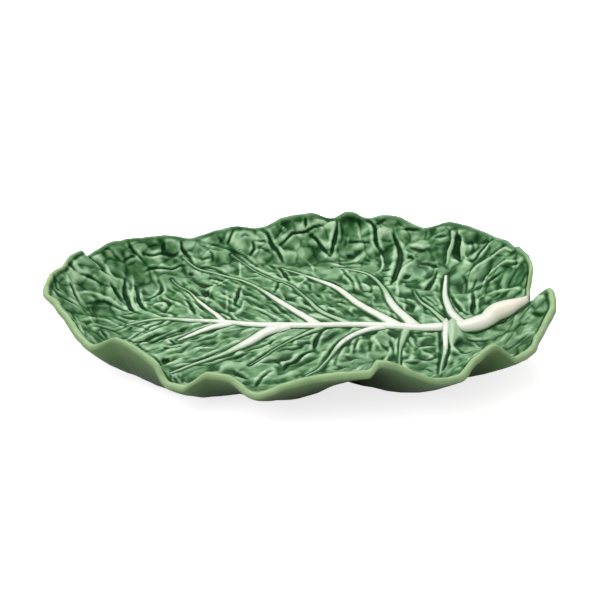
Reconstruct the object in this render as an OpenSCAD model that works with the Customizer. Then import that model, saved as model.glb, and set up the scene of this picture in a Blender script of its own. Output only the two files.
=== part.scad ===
// Cabbage leaf platter: a shallow oval dish of glazed earthenware, moulded as one crinkled leaf.
// X runs along the leaf with the stalk at +X, Z is up, and the dish stands on z = 0.

/* [Leaf] */
// Length of the leaf along its rim
leaf_len = 394; // [200:1:600]
// Width of the leaf across its rim
leaf_wid = 312; // [160:1:480]
// Height of the rim where a height share is 1
rim_h = 50; // [30:0.5:90]
// Thickness of the fired clay
clay_t = 6; // [3:0.5:8]

/* [Foot] */
// Height of the foot ring under the floor
foot_h = 5; // [4.5:0.5:12]
// Width of the foot ring's resting face
foot_wid = 7; // [4:0.5:14]
// How far the foot ring stays inside the edge of the flat floor
foot_inset = 2; // [1:0.5:8]

/* [Stalk and midrib] */
// Width of the stalk at the rim
stalk_wid = 18; // [10:0.5:26]
// Height of the stalk over the leaf
stalk_h = 8; // [4:0.5:14]

/* [Side ribs] */
// Width of the broadest side rib where it leaves the midrib
rib_wid = 7; // [4:0.5:9]
// Height of the tallest side rib over the leaf
rib_h = 3; // [1.5:0.5:6]
// Glaze line left between a rib and what it lies on or meets
seat_gap = 0.3; // [0.2:0.05:0.5]

/* [Hidden] */

green = [0.30, 0.52, 0.36];
shade_green = [0.33, 0.45, 0.28];
pale_green = [0.66, 0.80, 0.60];
cream = [0.98, 0.97, 0.90];

floor_z = foot_h + clay_t;
half_len = leaf_len / 2;
half_wid = leaf_wid / 2;

// The leaf is broader towards the stalk, by this share of its half width
egg_share = 0.18;
// The wall leaves the floor at these shares of the radius: in a crease, and in a full bay
crease_share = 0.52;
bay_share = 0.74;
// Powers of the wall's curve: nearly straight in a crease, hollow in a bay, and that of the folds
crease_power = 1.1;
bay_power = 1.6;
fold_power = 2;

// The rim, once round from the stalk by the back: angle seen from the middle, height as a share
// of rim_h, reach in or out as a share of the radius, and how full the bay under it is
rim_shares = [
    [2, 0.66, -0.080, 0.9], [7, 0.92, -0.052, 0.9], [14, 1.00, -0.025, 0.9], [19, 1.00, -0.015, 0.9],
    [22, 0.93, 0.000, 0.9], [25, 0.97, -0.005, 0.9], [31, 0.92, 0.000, 0.9], [39, 0.98, -0.010, 1.0],
    [44, 0.95, -0.010, 1.0], [53, 0.73, 0.015, 0.8], [59, 0.88, 0.000, 0.9], [63, 0.92, -0.010, 1.0],
    [69, 0.82, 0.005, 0.9], [74, 0.95, -0.010, 1.0], [80, 0.80, 0.010, 0.9], [86, 0.92, -0.010, 1.0],
    [95, 0.86, 0.000, 1.0], [104, 0.69, 0.010, 0.8], [112, 0.78, 0.000, 0.9], [120, 0.74, 0.000, 0.9],
    [127, 0.68, 0.010, 0.8], [137, 0.84, 0.000, 1.0], [148, 0.92, 0.000, 1.0], [155, 0.98, -0.010, 1.0],
    [161, 0.86, 0.010, 0.8], [165, 1.06, -0.010, 0.9], [170, 0.92, 0.000, 1.0], [178, 0.96, 0.000, 1.0],
    [186, 0.92, 0.000, 1.0], [194, 0.96, -0.015, 1.1], [200, 0.92, -0.010, 1.2], [207, 0.77, 0.005, 1.3],
    [212, 0.72, 0.020, 1.3], [219, 0.90, -0.020, 1.3], [226, 0.83, -0.015, 1.3], [231, 0.74, 0.000, 1.3],
    [237, 0.56, 0.040, 1.2], [240, 0.56, 0.035, 1.2], [246, 0.75, -0.010, 1.1], [251, 0.75, -0.015, 0.9],
    [259, 0.62, 0.030, 0.9], [266, 0.76, 0.010, 0.9], [275, 0.90, -0.010, 0.6], [281, 0.94, -0.010, 0.2],
    [286, 0.96, -0.010, 0.0], [289, 1.08, -0.030, 0.0], [295, 0.96, -0.010, 0.4], [301, 0.82, 0.020, 0.7],
    [306, 0.80, 0.015, 0.8], [311, 0.94, -0.015, 0.7], [317, 1.02, -0.030, 0.8], [321, 0.80, 0.015, 0.8],
    [327, 0.78, 0.010, 0.8], [333, 0.83, -0.010, 0.8], [339, 0.82, -0.020, 0.9], [344, 0.96, -0.010, 0.9],
    [347, 1.02, -0.015, 0.9], [351, 1.04, -0.030, 0.9], [354, 0.80, -0.072, 0.9], [358, 0.62, -0.088, 0.9]];

// The midrib from the stalk's cut end to its tip: x and y as shares of the half length and half
// width, then width and height as shares of the stalk's
midrib_shares = [
    [0.89, -0.09, 1.00, 1.00], [0.80, -0.10, 1.00, 1.00], [0.69, -0.10, 0.95, 0.90],
    [0.60, -0.11, 0.72, 0.70], [0.49, -0.10, 0.50, 0.58], [0.40, -0.08, 0.45, 0.50],
    [0.28, -0.05, 0.42, 0.50], [0.16, -0.08, 0.42, 0.50], [0.04, -0.11, 0.42, 0.50],
    [-0.07, -0.11, 0.38, 0.45], [-0.19, -0.08, 0.33, 0.42], [-0.32, -0.06, 0.28, 0.38],
    [-0.45, -0.03, 0.22, 0.32], [-0.54, -0.01, 0.18, 0.26], [-0.61, -0.02, 0.16, 0.20],
    [-0.70, -0.08, 0.12, 0.16]];

// Each side rib: width share, height share, then the places it runs through from the midrib
// outwards, as shares of the half length and half width
back_rib_shares = [
    [0.80, 1.0, [[0.65, -0.10], [0.63, 0.08], [0.62, 0.19], [0.62, 0.34], [0.64, 0.54]]],
    [0.45, 0.6, [[0.58, -0.09], [0.55, 0.14], [0.51, 0.25], [0.49, 0.40]]],
    [0.90, 1.0, [[0.44, -0.06], [0.39, 0.20], [0.36, 0.44], [0.31, 0.62], [0.23, 0.69], [0.15, 0.72]]],
    [1.00, 1.0, [[0.36, -0.05], [0.25, 0.21], [0.16, 0.43], [0.03, 0.60], [-0.08, 0.71]]],
    [0.60, 0.7, [[0.17, -0.06], [0.09, 0.10], [0.03, 0.29], [-0.04, 0.47], [-0.12, 0.56],
        [-0.22, 0.69], [-0.31, 0.76]]],
    [0.75, 0.8, [[0.05, -0.05], [-0.07, 0.22], [-0.19, 0.44], [-0.28, 0.54], [-0.36, 0.58],
        [-0.45, 0.60], [-0.52, 0.66]]],
    [0.50, 0.7, [[-0.33, -0.03], [-0.41, 0.20], [-0.47, 0.35], [-0.56, 0.46]]]];
front_rib_shares = [
    [0.75, 1.0, [[0.58, -0.11], [0.57, -0.22], [0.56, -0.33], [0.53, -0.50], [0.50, -0.73]]],
    [0.60, 0.8, [[0.42, -0.09], [0.39, -0.30], [0.37, -0.52]]],
    [0.75, 0.9, [[0.31, -0.06], [0.26, -0.12], [0.20, -0.18], [0.15, -0.28], [0.11, -0.42],
        [0.07, -0.53], [0.02, -0.60]]],
    [0.50, 0.6, [[0.08, -0.11], [0.01, -0.18], [-0.05, -0.25], [-0.10, -0.32], [-0.14, -0.40],
        [-0.19, -0.49]]],
    [1.00, 1.0, [[-0.09, -0.10], [-0.14, -0.16], [-0.18, -0.22], [-0.23, -0.29], [-0.30, -0.38],
        [-0.36, -0.44], [-0.42, -0.50], [-0.49, -0.58]]],
    [0.60, 0.8, [[-0.31, -0.05], [-0.37, -0.12], [-0.43, -0.18], [-0.48, -0.22]]]];

// Hollows pressed between the ribs: x as a share of the half length, y and radius as shares of the
// half width, then depth as a share of the deepest one's
hollow_shares = [
    [-0.31, 0.16, 0.08, 1.0], [-0.56, 0.16, 0.10, 0.9], [-0.70, 0.28, 0.09, 0.8],
    [-0.80, 0.08, 0.08, 0.8], [-0.40, 0.34, 0.06, 0.8], [-0.42, 0.48, 0.06, 0.7],
    [-0.26, 0.33, 0.07, 0.9], [-0.68, 0.46, 0.07, 0.8], [-0.57, 0.60, 0.06, 0.8],
    [-0.10, 0.12, 0.06, 0.8], [0.04, 0.13, 0.04, 0.6], [-0.05, 0.32, 0.06, 0.9],
    [-0.15, 0.49, 0.06, 0.8], [-0.28, 0.64, 0.04, 0.6], [-0.38, 0.71, 0.06, 0.8],
    [0.21, 0.06, 0.07, 0.9], [0.14, 0.26, 0.08, 1.0], [0.07, 0.43, 0.07, 0.9],
    [-0.06, 0.61, 0.05, 0.7], [-0.13, 0.80, 0.08, 0.9], [0.37, 0.05, 0.04, 0.6],
    [0.32, 0.22, 0.06, 0.8], [0.27, 0.42, 0.08, 1.0], [0.17, 0.58, 0.06, 0.8],
    [0.06, 0.81, 0.09, 0.9], [0.23, 0.84, 0.09, 0.9], [0.46, 0.14, 0.05, 0.8],
    [0.43, 0.35, 0.05, 0.7], [0.46, 0.56, 0.09, 1.0], [0.38, 0.76, 0.09, 0.8],
    [0.56, 0.43, 0.06, 0.8], [0.53, 0.74, 0.08, 0.8], [0.66, 0.66, 0.07, 0.7],
    [0.74, 0.14, 0.09, 0.9], [0.71, 0.38, 0.08, 0.8], [0.83, 0.30, 0.06, 0.7],
    [0.74, -0.32, 0.10, 1.0], [0.66, -0.52, 0.09, 0.8], [0.58, -0.68, 0.06, 0.7],
    [0.48, -0.26, 0.08, 0.9], [0.44, -0.50, 0.06, 0.8], [0.44, -0.68, 0.07, 0.7],
    [0.34, -0.24, 0.06, 0.8], [0.27, -0.42, 0.08, 1.0], [0.30, -0.64, 0.09, 0.8],
    [0.07, -0.26, 0.07, 0.9], [-0.01, -0.43, 0.08, 1.0], [-0.07, -0.60, 0.08, 0.9],
    [0.04, -0.76, 0.08, 0.8], [-0.12, -0.25, 0.04, 0.7], [-0.23, -0.42, 0.06, 0.9],
    [-0.27, -0.57, 0.07, 0.9], [-0.41, -0.68, 0.07, 0.8], [-0.20, -0.73, 0.08, 0.8],
    [-0.24, -0.16, 0.05, 0.8], [-0.33, -0.27, 0.06, 0.9], [-0.43, -0.36, 0.07, 0.9],
    [-0.54, -0.45, 0.08, 0.8], [-0.46, -0.10, 0.05, 0.7], [-0.58, -0.21, 0.08, 1.0],
    [-0.75, -0.21, 0.08, 0.8], [-0.71, -0.40, 0.07, 0.8]];
// Depth of the deepest hollow, as a share of the clay's thickness
hollow_depth_share = 0.5;

// A side rib's width and height at its tip, as shares of those at its root
tip_share = 0.35;
// A rib's section, in shares of its width and height
section_shares = [[-0.5, 0], [0.5, 0], [0.36, 0.72], [0, 1], [-0.36, 0.72]];

// Counts of facets
around = 144;
wall_rings = 10;
floor_rings = 11;
under_rings = 7;
lip_rings = 4;
spline_steps = 4;
solve_steps = 6;

// The rim table, read at any angle: a smooth curve through the stations, level at each crest
function row_angle(i) = let (n = len(rim_shares), k = (i + n) % n)
    rim_shares[k][0] + (i < 0 ? -360 : i >= n ? 360 : 0);
function row_value(i, col) = rim_shares[(i + len(rim_shares)) % len(rim_shares)][col];
function secant(i, col) = (row_value(i + 1, col) - row_value(i, col)) / (row_angle(i + 1) - row_angle(i));
function row_slope(i, col) = let (a = secant(i - 1, col), b = secant(i, col))
    a * b <= 0 ? 0 : 2 * a * b / (a + b);
function hermite(a, b, sa, sb, t) = a * (2 * t * t * t - 3 * t * t + 1) + b * (3 * t * t - 2 * t * t * t)
    + sa * (t * t * t - 2 * t * t + t) + sb * (t * t * t - t * t);
function turn(a) = a - 360 * floor(a / 360);
function last_row(a) = len([for (row = rim_shares) if (row[0] <= a) row]) - 1;
function rim_at(angle, col) =
    let (a = turn(angle), i = last_row(a), span = row_angle(i + 1) - row_angle(i))
    hermite(row_value(i, col), row_value(i + 1, col), span * row_slope(i, col),
        span * row_slope(i + 1, col), (a - row_angle(i)) / span);

// The egg-shaped line that the rim follows, by its own turning angle t
function egg(t) = [half_len * cos(t), half_wid * sin(t) * (1 + egg_share * cos(t))];
function egg_turn(x, y, t, left) = left == 0 ? t
    : egg_turn(x, y, atan2(y / (half_wid * (1 + egg_share * cos(t))), x / half_len), left - 1);

// All that is fixed along one spoke: its direction, egg radius, rim height, reach and wall start
function spoke(t) = let (e = egg(t), a = atan2(e[1], e[0]), bay = rim_at(a, 3))
    [[cos(a), sin(a)], norm(e), rim_h * rim_at(a, 1), rim_at(a, 2),
     crease_share + (bay_share - crease_share) * bay, crease_power + (bay_power - crease_power) * bay];

// A point of the leaf's upper face on a spoke, as radius and height, for m from 0 where the wall
// leaves the floor to 1 at the rim
function face_at(k, m) = [
    k[1] * (k[4] + (1 - k[4]) * m + k[3] * pow(m, fold_power)),
    floor_z + (k[2] - floor_z) * pow(m, k[5])];
// Its unit normal in the spoke's plane, from a small step of m
step_share = 0.002;
function face_normal(k, m) = let (a = face_at(k, max(0, m - step_share)), b = face_at(k, m + step_share),
    d = (b - a) / norm(b - a)) [-d[1], d[0]];
function under_at(k, m) = m == 0 ? [face_at(k, 0)[0], foot_h]
    : let (p = face_at(k, m) - clay_t * face_normal(k, m)) [p[0], max(foot_h, p[1])];

// The height of the upper face over any place of the plan
function wall_share(k, r, m, left) = left == 0 ? m
    : wall_share(k, r, max(0, (r / k[1] - k[4] - k[3] * pow(m, fold_power)) / (1 - k[4])), left - 1);
function leaf_z(p) = let (t = egg_turn(p[0], p[1], atan2(p[1], p[0]), solve_steps), k = spoke(t))
    face_at(k, wall_share(k, norm(p), 0, solve_steps))[1];

// How far the hollows sink the upper face at a place of the plan, and a point of a spoke so sunk.
// The ribs run where there are none, so leaf_z leaves them out.
function bowl(u) = u < 1 ? (1 - u * u) * (1 - u * u) : 0;
function sunk(p) = hollow_depth_share * clay_t * max([for (h = hollow_shares)
    h[3] * bowl(norm(p - [h[0] * half_len, h[1] * half_wid]) / (h[2] * half_wid))]);
function pressed(k, q) = [q[0], q[1] - sunk(k[0] * q[0])];

// The leaf's points: rings underneath from the wall's foot out to the rim, round the lip, back
// over the upper face to the wall's foot, and in over the floor
function lip_at(k, turned) = let (n = face_normal(k, 1), c = face_at(k, 1) - n * clay_t / 2)
    c + clay_t / 2 * [n[0] * cos(turned) + n[1] * sin(turned), n[1] * cos(turned) - n[0] * sin(turned)];
function section_of(k) = [
    for (i = [0 : under_rings]) under_at(k, i / under_rings),
    for (i = [lip_rings : -1 : 1]) lip_at(k, 180 * i / (lip_rings + 1)),
    for (i = [wall_rings : -1 : 0]) pressed(k, face_at(k, i / wall_rings)),
    for (i = [floor_rings - 1 : -1 : 1]) pressed(k, [k[1] * k[4] * i / floor_rings, floor_z])];
spokes = [for (i = [0 : around - 1]) spoke(360 * i / around)];
sections = [for (k = spokes) section_of(k)];
ring_count = len(sections[0]);
leaf_points = [for (j = [0 : ring_count - 1]) for (i = [0 : around - 1])
    [spokes[i][0][0] * sections[i][j][0], spokes[i][0][1] * sections[i][j][0], sections[i][j][1]]];

// The middle of the whole outline, moved onto the axis
function mid_of(v) = (max(v) + min(v)) / 2;
centre = [mid_of([for (p = leaf_points) p[0]]), mid_of([for (p = leaf_points) p[1]])];
module placed() { translate([-centre[0], -centre[1], 0]) children(); }

// Triangles between rings of n points each, for rings that are closed round
function band(n, rings) = [for (j = [0 : rings - 2]) for (i = [0 : n - 1])
    let (a = j * n + i, b = j * n + (i + 1) % n) each [[a, a + n, b + n], [a, b + n, b]]];
function fan_to(hub, first, n, flip) = [for (i = [0 : n - 1])
    let (a = first + i, b = first + (i + 1) % n) flip ? [hub, b, a] : [hub, a, b]];

// A curve through a list of rows, with spline_steps pieces from each row to the next
function knot(v, i) = i < 0 ? 2 * v[0] - v[1] : i >= len(v) ? 2 * v[len(v) - 1] - v[len(v) - 2] : v[i];
function curve(v) = [for (i = [0 : len(v) - 2]) for (s = [0 : spline_steps - 1]) let (t = s / spline_steps)
        hermite(knot(v, i), knot(v, i + 1), (knot(v, i + 1) - knot(v, i - 1)) / 2,
            (knot(v, i + 2) - knot(v, i)) / 2, t),
    v[len(v) - 1]];
function heading(v, i) = let (d = knot(v, i + 1) - knot(v, i - 1), f = [d[0], d[1]]) f / norm(f);
function side_of(d) = [-d[1], d[0]];

midrib_line = curve([for (row = midrib_shares)
    [row[0] * half_len, row[1] * half_wid, row[2] * stalk_wid, row[3] * stalk_h]]);
// The midrib's row at any x, and the line just off its flank on one side
function midrib_at(x) = let (n = len(midrib_line),
    i = min(n - 2, max(0, len([for (row = midrib_line) if (row[0] > x) row]) - 1)),
    a = midrib_line[i], b = midrib_line[i + 1]) a + (b - a) * (x - a[0]) / (b[0] - a[0]);
function flank_y(x, side) = let (m = midrib_at(x)) m[1] + side * (m[2] / 2 + seat_gap + clear_share * m[2]);
// A flank slants a little, so it is cleared by this share of the midrib's width more
clear_share = 0.03;

// A rib's ring of points, square to its way: it sits on the leaf with the glaze line between
function ring_at(c, d, wid, high) = [for (q = section_shares)
    let (p = c + side_of(d) * q[0] * wid) [p[0], p[1], leaf_z(p) + seat_gap + q[1] * high]];
// A point slid back along the rib until it meets the line just off the midrib's flank
function slid(p, d, side, t, left) = left == 0 ? p - d * t
    : slid(p, d, side, (p[1] - flank_y(p[0] - d[0] * t, side)) / d[1], left - 1);
function root_ring(c, d, wid, high, side) = [for (q = section_shares)
    let (p = slid(c + side_of(d) * q[0] * wid, d, side, 0, solve_steps))
    [p[0], p[1], leaf_z(p) + seat_gap + q[1] * high]];

module rib_solid(rings) {
    n = len(section_shares);
    points = [for (ring = rings) each ring];
    last = len(points) - n;
    polyhedron(points, concat(band(n, len(rings)), [[for (i = [0 : n - 1]) i]],
        [[for (i = [n - 1 : -1 : 0]) last + i]]));
}

module leaf_blade() {
    under_hub = len(leaf_points);
    color(green) placed() polyhedron(
        concat(leaf_points, [[0, 0, foot_h], [0, 0, floor_z - sunk([0, 0])]]),
        concat(band(around, ring_count), fan_to(under_hub, 0, around, false),
            fan_to(under_hub + 1, (ring_count - 1) * around, around, true)));
}

function foot_line(inset) = [for (k = spokes) k[0] * (k[1] * k[4] - inset)];
module foot_ring() {
    color(shade_green) placed() linear_extrude(height = foot_h) difference() {
        polygon(foot_line(foot_inset));
        polygon(foot_line(foot_inset + foot_wid));
    }
}

module midrib() {
    color(cream) placed() rib_solid([for (i = [0 : len(midrib_line) - 1]) let (row = midrib_line[i])
        ring_at([row[0], row[1]], heading(midrib_line, i), row[2], row[3])]);
}

module side_rib(shares, side, shade) {
    line = curve([for (p = shares[2]) [p[0] * half_len, p[1] * half_wid]]);
    n = len(line) - 1;
    wide = [for (i = [0 : n]) shares[0] * rib_wid * (1 - (1 - tip_share) * i / n)];
    high = [for (i = [0 : n]) shares[1] * rib_h * (1 - (1 - tip_share) * i / n)];
    clear = [for (i = [1 : n]) if (side * (line[i][1] - flank_y(line[i][0], side)) > wide[i]) i];
    root = clear[0];
    color(shade) placed() rib_solid(concat(
        [root_ring(line[root], heading(line, root), wide[root], high[root], side)],
        [for (i = clear) ring_at(line[i], heading(line, i), wide[i], high[i])]));
}

leaf_blade();
foot_ring();
midrib();
side_rib(back_rib_shares[0], 1, cream);  // back_rib_1
side_rib(back_rib_shares[1], 1, pale_green);  // back_rib_2
side_rib(back_rib_shares[2], 1, cream);  // back_rib_3
side_rib(back_rib_shares[3], 1, cream);  // back_rib_4
side_rib(back_rib_shares[4], 1, pale_green);  // back_rib_5
side_rib(back_rib_shares[5], 1, cream);  // back_rib_6
side_rib(back_rib_shares[6], 1, cream);  // back_rib_7
side_rib(front_rib_shares[0], -1, cream);  // front_rib_1
side_rib(front_rib_shares[1], -1, pale_green);  // front_rib_2
side_rib(front_rib_shares[2], -1, cream);  // front_rib_3
side_rib(front_rib_shares[3], -1, pale_green);  // front_rib_4
side_rib(front_rib_shares[4], -1, cream);  // front_rib_5
side_rib(front_rib_shares[5], -1, cream);  // front_rib_6
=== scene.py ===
# %% [markdown]
# # A cabbage leaf platter
# The real object is one piece of earthenware. It was cast as a crinkled
# cabbage leaf and covered with a glossy green glaze that runs off the ridges
# and pools in the hollows. The packed CAD model gives the smooth leaf, its
# ribs and its foot. This script carves the leaf, models the ribs and glazes
# everything, in metres and in the CAD model's own frame.

# %% Load the packed model
import bpy
import numpy as np
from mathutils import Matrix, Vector


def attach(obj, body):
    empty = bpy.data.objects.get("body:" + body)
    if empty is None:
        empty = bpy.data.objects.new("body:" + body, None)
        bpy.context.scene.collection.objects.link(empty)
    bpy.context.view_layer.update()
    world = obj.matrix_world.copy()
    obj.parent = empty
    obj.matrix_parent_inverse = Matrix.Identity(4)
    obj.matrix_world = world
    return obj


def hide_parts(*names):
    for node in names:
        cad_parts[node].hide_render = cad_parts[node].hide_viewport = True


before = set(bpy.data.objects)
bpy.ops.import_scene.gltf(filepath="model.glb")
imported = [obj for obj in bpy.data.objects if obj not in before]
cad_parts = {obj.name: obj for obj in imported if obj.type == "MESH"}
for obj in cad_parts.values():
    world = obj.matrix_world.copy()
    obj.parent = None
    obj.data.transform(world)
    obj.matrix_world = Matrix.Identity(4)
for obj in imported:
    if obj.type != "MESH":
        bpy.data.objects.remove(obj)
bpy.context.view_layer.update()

mm = 0.001
TINY = 1e-12

# %% [markdown]
# ## The leaf's plan and wall
# Seen from above the dish is an egg, wider towards the stalk. Its rim rises
# and falls, and leans out and in, at a set of stations around the edge. A
# smooth curve through the stations gives every direction its own wall, and
# shallow hollows are pressed between the ribs. The CAD leaf follows the same
# rule, so the carved leaf lies over it. Only the rim's peak at the far left
# is rounder here.

# %% Sizes of the leaf
LEAF_LEN, LEAF_WID, RIM_H = 394*mm, 312*mm, 50*mm
CLAY_T, FOOT_H, FOOT_WID, FOOT_INSET = 6*mm, 5*mm, 7*mm, 2*mm
FLOOR = FOOT_H + CLAY_T
EGG = 0.18
# in a crease of the rim and in a full bay: where the wall starts, and the power of its curve
CREASE_REACH, BAY_REACH = 0.52, 0.74
CREASE_POWER, BAY_POWER = 1.1, 1.6
# how softly the wall bends out of the floor, and up to which reach the floor is quite flat
SOFT_FOOT = 0.10
FLAT_REACH = 0.25
# the packed model is centred on its box, which puts the middle of the egg here
SHIFT = np.array([4.105, -1.714, 0.0])*mm

# each station: direction in degrees, rim height share, lean outward share, roundness share
STATIONS = np.array([
    [2, .66, -.080, .9], [7, .92, -.052, .9], [14, 1.00, -.025, .9], [19, 1.00, -.015, .9],
    [22, .93, 0, .9], [25, .97, -.005, .9], [31, .92, 0, .9], [39, .98, -.010, 1],
    [44, .95, -.010, 1], [53, .73, .015, .8], [59, .88, 0, .9], [63, .92, -.010, 1],
    [69, .82, .005, .9], [74, .95, -.010, 1], [80, .80, .010, .9], [86, .92, -.010, 1],
    [95, .86, 0, 1], [104, .69, .010, .8], [112, .78, 0, .9], [120, .74, 0, .9],
    [127, .68, .010, .8], [137, .84, 0, 1], [148, .92, 0, 1], [155, .98, -.010, 1],
    [161, .86, .010, .8], [164.5, 1.03, -.005, .9], [167.5, 1.02, 0, .9], [171, .93, 0, 1], [178, .96, 0, 1],
    [186, .92, 0, 1], [194, .96, -.015, 1.1], [200, .92, -.010, 1.2], [207, .77, .005, 1.3],
    [212, .72, .020, 1.3], [219, .90, -.020, 1.3], [226, .83, -.015, 1.3], [231, .74, 0, 1.3],
    [237, .56, .040, 1.2], [240, .56, .035, 1.2], [246, .75, -.010, 1.1], [251, .75, -.015, .9],
    [259, .62, .030, .9], [266, .76, .010, .9], [275, .90, -.010, .6], [281, .94, -.010, .2],
    [286, .96, -.010, 0], [289, 1.08, -.030, 0], [295, .96, -.010, .4], [301, .82, .020, .7],
    [306, .80, .015, .8], [311, .94, -.015, .7], [317, 1.02, -.030, .8], [321, .80, .015, .8],
    [327, .78, .010, .8], [333, .83, -.010, .8], [339, .82, -.020, .9], [344, .96, -.010, .9],
    [347, 1.02, -.015, .9], [351, 1.04, -.030, .9], [354, .80, -.072, .9], [358, .62, -.088, .9]])
# each hollow: x as a share of the half length, y and radius as shares of the half width, depth share
HOLLOWS = np.array([
    [-.31, .16, .08, 1], [-.56, .16, .10, .9], [-.70, .28, .09, .8],
    [-.80, .08, .08, .8], [-.40, .34, .06, .8], [-.42, .48, .06, .7],
    [-.26, .33, .07, .9], [-.68, .46, .07, .8], [-.57, .60, .06, .8],
    [-.10, .12, .06, .8], [.04, .13, .04, .6], [-.05, .32, .06, .9],
    [-.15, .49, .06, .8], [-.28, .64, .04, .6], [-.38, .71, .06, .8],
    [.21, .06, .07, .9], [.14, .26, .08, 1], [.07, .43, .07, .9],
    [-.06, .61, .05, .7], [-.13, .80, .08, .9], [.37, .05, .04, .6],
    [.32, .22, .06, .8], [.27, .42, .08, 1], [.17, .58, .06, .8],
    [.06, .81, .09, .9], [.23, .84, .09, .9], [.46, .14, .05, .8],
    [.43, .35, .05, .7], [.46, .56, .09, 1], [.38, .76, .09, .8],
    [.56, .43, .06, .8], [.53, .74, .08, .8], [.66, .66, .07, .7],
    [.74, .14, .09, .9], [.71, .38, .08, .8], [.83, .30, .06, .7],
    [.74, -.32, .10, 1], [.66, -.52, .09, .8], [.58, -.68, .06, .7],
    [.48, -.26, .08, .9], [.44, -.50, .06, .8], [.44, -.68, .07, .7],
    [.34, -.24, .06, .8], [.27, -.42, .08, 1], [.30, -.64, .09, .8],
    [.07, -.26, .07, .9], [-.01, -.43, .08, 1], [-.07, -.60, .08, .9],
    [.04, -.76, .08, .8], [-.12, -.25, .04, .7], [-.23, -.42, .06, .9],
    [-.27, -.57, .07, .9], [-.41, -.68, .07, .8], [-.20, -.73, .08, .8],
    [-.24, -.16, .05, .8], [-.33, -.27, .06, .9], [-.43, -.36, .07, .9],
    [-.54, -.45, .08, .8], [-.46, -.10, .05, .7], [-.58, -.21, .08, 1],
    [-.75, -.21, .08, .8], [-.71, -.40, .07, .8]])
HOLLOW_DEPTH = 0.5*CLAY_T
print("rim stations:", len(STATIONS), "hollows:", len(HOLLOWS))

# %% A smooth curve through the rim stations
def rim_at(angle):
    """height, lean and roundness shares of the rim in each direction"""
    ring = np.concatenate([STATIONS[-2:] - [360, 0, 0, 0], STATIONS, STATIONS[:2] + [360, 0, 0, 0]])
    rise = np.diff(ring[:, 1:], axis=0) / np.diff(ring[:, :1], axis=0)
    before, after = rise[:-1], rise[1:]
    same_way = before*after > 0
    slope = np.where(same_way, 2*before*after / np.where(same_way, before + after, 1.0), 0.0)
    ring = ring[1:-1]
    turn = np.degrees(angle) % 360
    i = np.clip(np.searchsorted(ring[:, 0], turn, side="right") - 1, 0, len(ring) - 2)
    gap = (ring[i + 1, 0] - ring[i, 0])[..., None]
    f = (turn - ring[i, 0])[..., None] / gap
    return (ring[i, 1:]*(2*f**3 - 3*f**2 + 1) + ring[i + 1, 1:]*(3*f**2 - 2*f**3)
            + slope[i]*gap*(f**3 - 2*f**2 + f) + slope[i + 1]*gap*(f**3 - f**2))

def egg(turn):
    """plan points of the outline, before it leans"""
    return LEAF_LEN/2*np.cos(turn), LEAF_WID/2*np.sin(turn)*(1 + EGG*np.cos(turn))

def spoke(turn):
    """outline point, rim height, lean, where the wall starts and how it curves"""
    x, y = egg(turn)
    height, lean, bay = np.moveaxis(rim_at(np.arctan2(y, x)), -1, 0)
    return (x, y, RIM_H*height, lean, CREASE_REACH + (BAY_REACH - CREASE_REACH)*bay,
            CREASE_POWER + (BAY_POWER - CREASE_POWER)*bay)

def climb(reach, start):
    """share of the wall climbed, with a soft bend where the floor ends"""
    up = (reach - start)/(1 - start)
    return (up + np.sqrt(up*up + SOFT_FOOT**2)) / (1 + np.sqrt(1 + SOFT_FOOT**2))

def leaf_at(turn, reach):
    """points of the upper face; reach runs from 0 at the middle to 1 at the rim"""
    x, y, height, lean, start, power = spoke(turn)
    up = climb(reach, start)
    r = reach + lean*up*up
    return np.stack([x*r, y*r, FLOOR + (height - FLOOR)*up**power], -1) + SHIFT

TURN_ROUNDS, REACH_ROUNDS, MOST_REACH = 12, 25, 1.05

def leaf_under(x, y):
    """turn, reach and height of the leaf over plan points, found by repeated guesses"""
    x, y = x - SHIFT[0], y - SHIFT[1]
    turn = np.arctan2(y/LEAF_WID, x/LEAF_LEN)
    for _ in range(TURN_ROUNDS):
        turn = np.arctan2(y/(LEAF_WID*(1 + EGG*np.cos(turn))), x/LEAF_LEN)
    ex, ey, height, lean, start, power = spoke(turn)
    out = np.hypot(x, y)/np.hypot(ex, ey)
    reach = out
    for _ in range(REACH_ROUNDS):
        reach = np.minimum(out - lean*climb(reach, start)**2, MOST_REACH)
    return turn, reach, leaf_at(turn, reach)[..., 2]

def unit(ways):
    """the same ways with a length of one"""
    return ways/np.maximum(np.linalg.norm(ways, axis=-1, keepdims=True), TINY)

def leaf_facing(turn, reach, step=0.002):
    """which way the upper face looks"""
    along = leaf_at(turn, reach + step) - leaf_at(turn, reach - step)
    around = leaf_at(turn + step, reach) - leaf_at(turn - step, reach)
    flat = (reach < FLAT_REACH)[..., None]
    return np.where(flat, [0.0, 0.0, 1.0], unit(np.cross(along, around)))

def pressed(x, y):
    """0 on the plain leaf to 1 in the middle of the deepest hollow, over plan points"""
    along, across = x[:, None] - SHIFT[0], y[:, None] - SHIFT[1]
    gap = np.hypot(along - HOLLOWS[:, 0]*LEAF_LEN/2, across - HOLLOWS[:, 1]*LEAF_WID/2)
    gap = np.clip(gap/(HOLLOWS[:, 2]*LEAF_WID/2), 0, 1)
    return ((1 - gap**2)**2*HOLLOWS[:, 3]).max(1)

once_round = np.linspace(0, 2*np.pi, 721)
rim = leaf_at(once_round, np.ones_like(once_round))
print("rim heights in mm:", round(rim[:, 2].min()/mm), "to", round(rim[:, 2].max()/mm))

# %% [markdown]
# ## Nodes written as sums
# Geometry Nodes and shaders are trees of small steps. The class below wraps
# one output socket, so that plain arithmetic on it adds the Math nodes, and
# one method adds every other kind of node.

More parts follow.
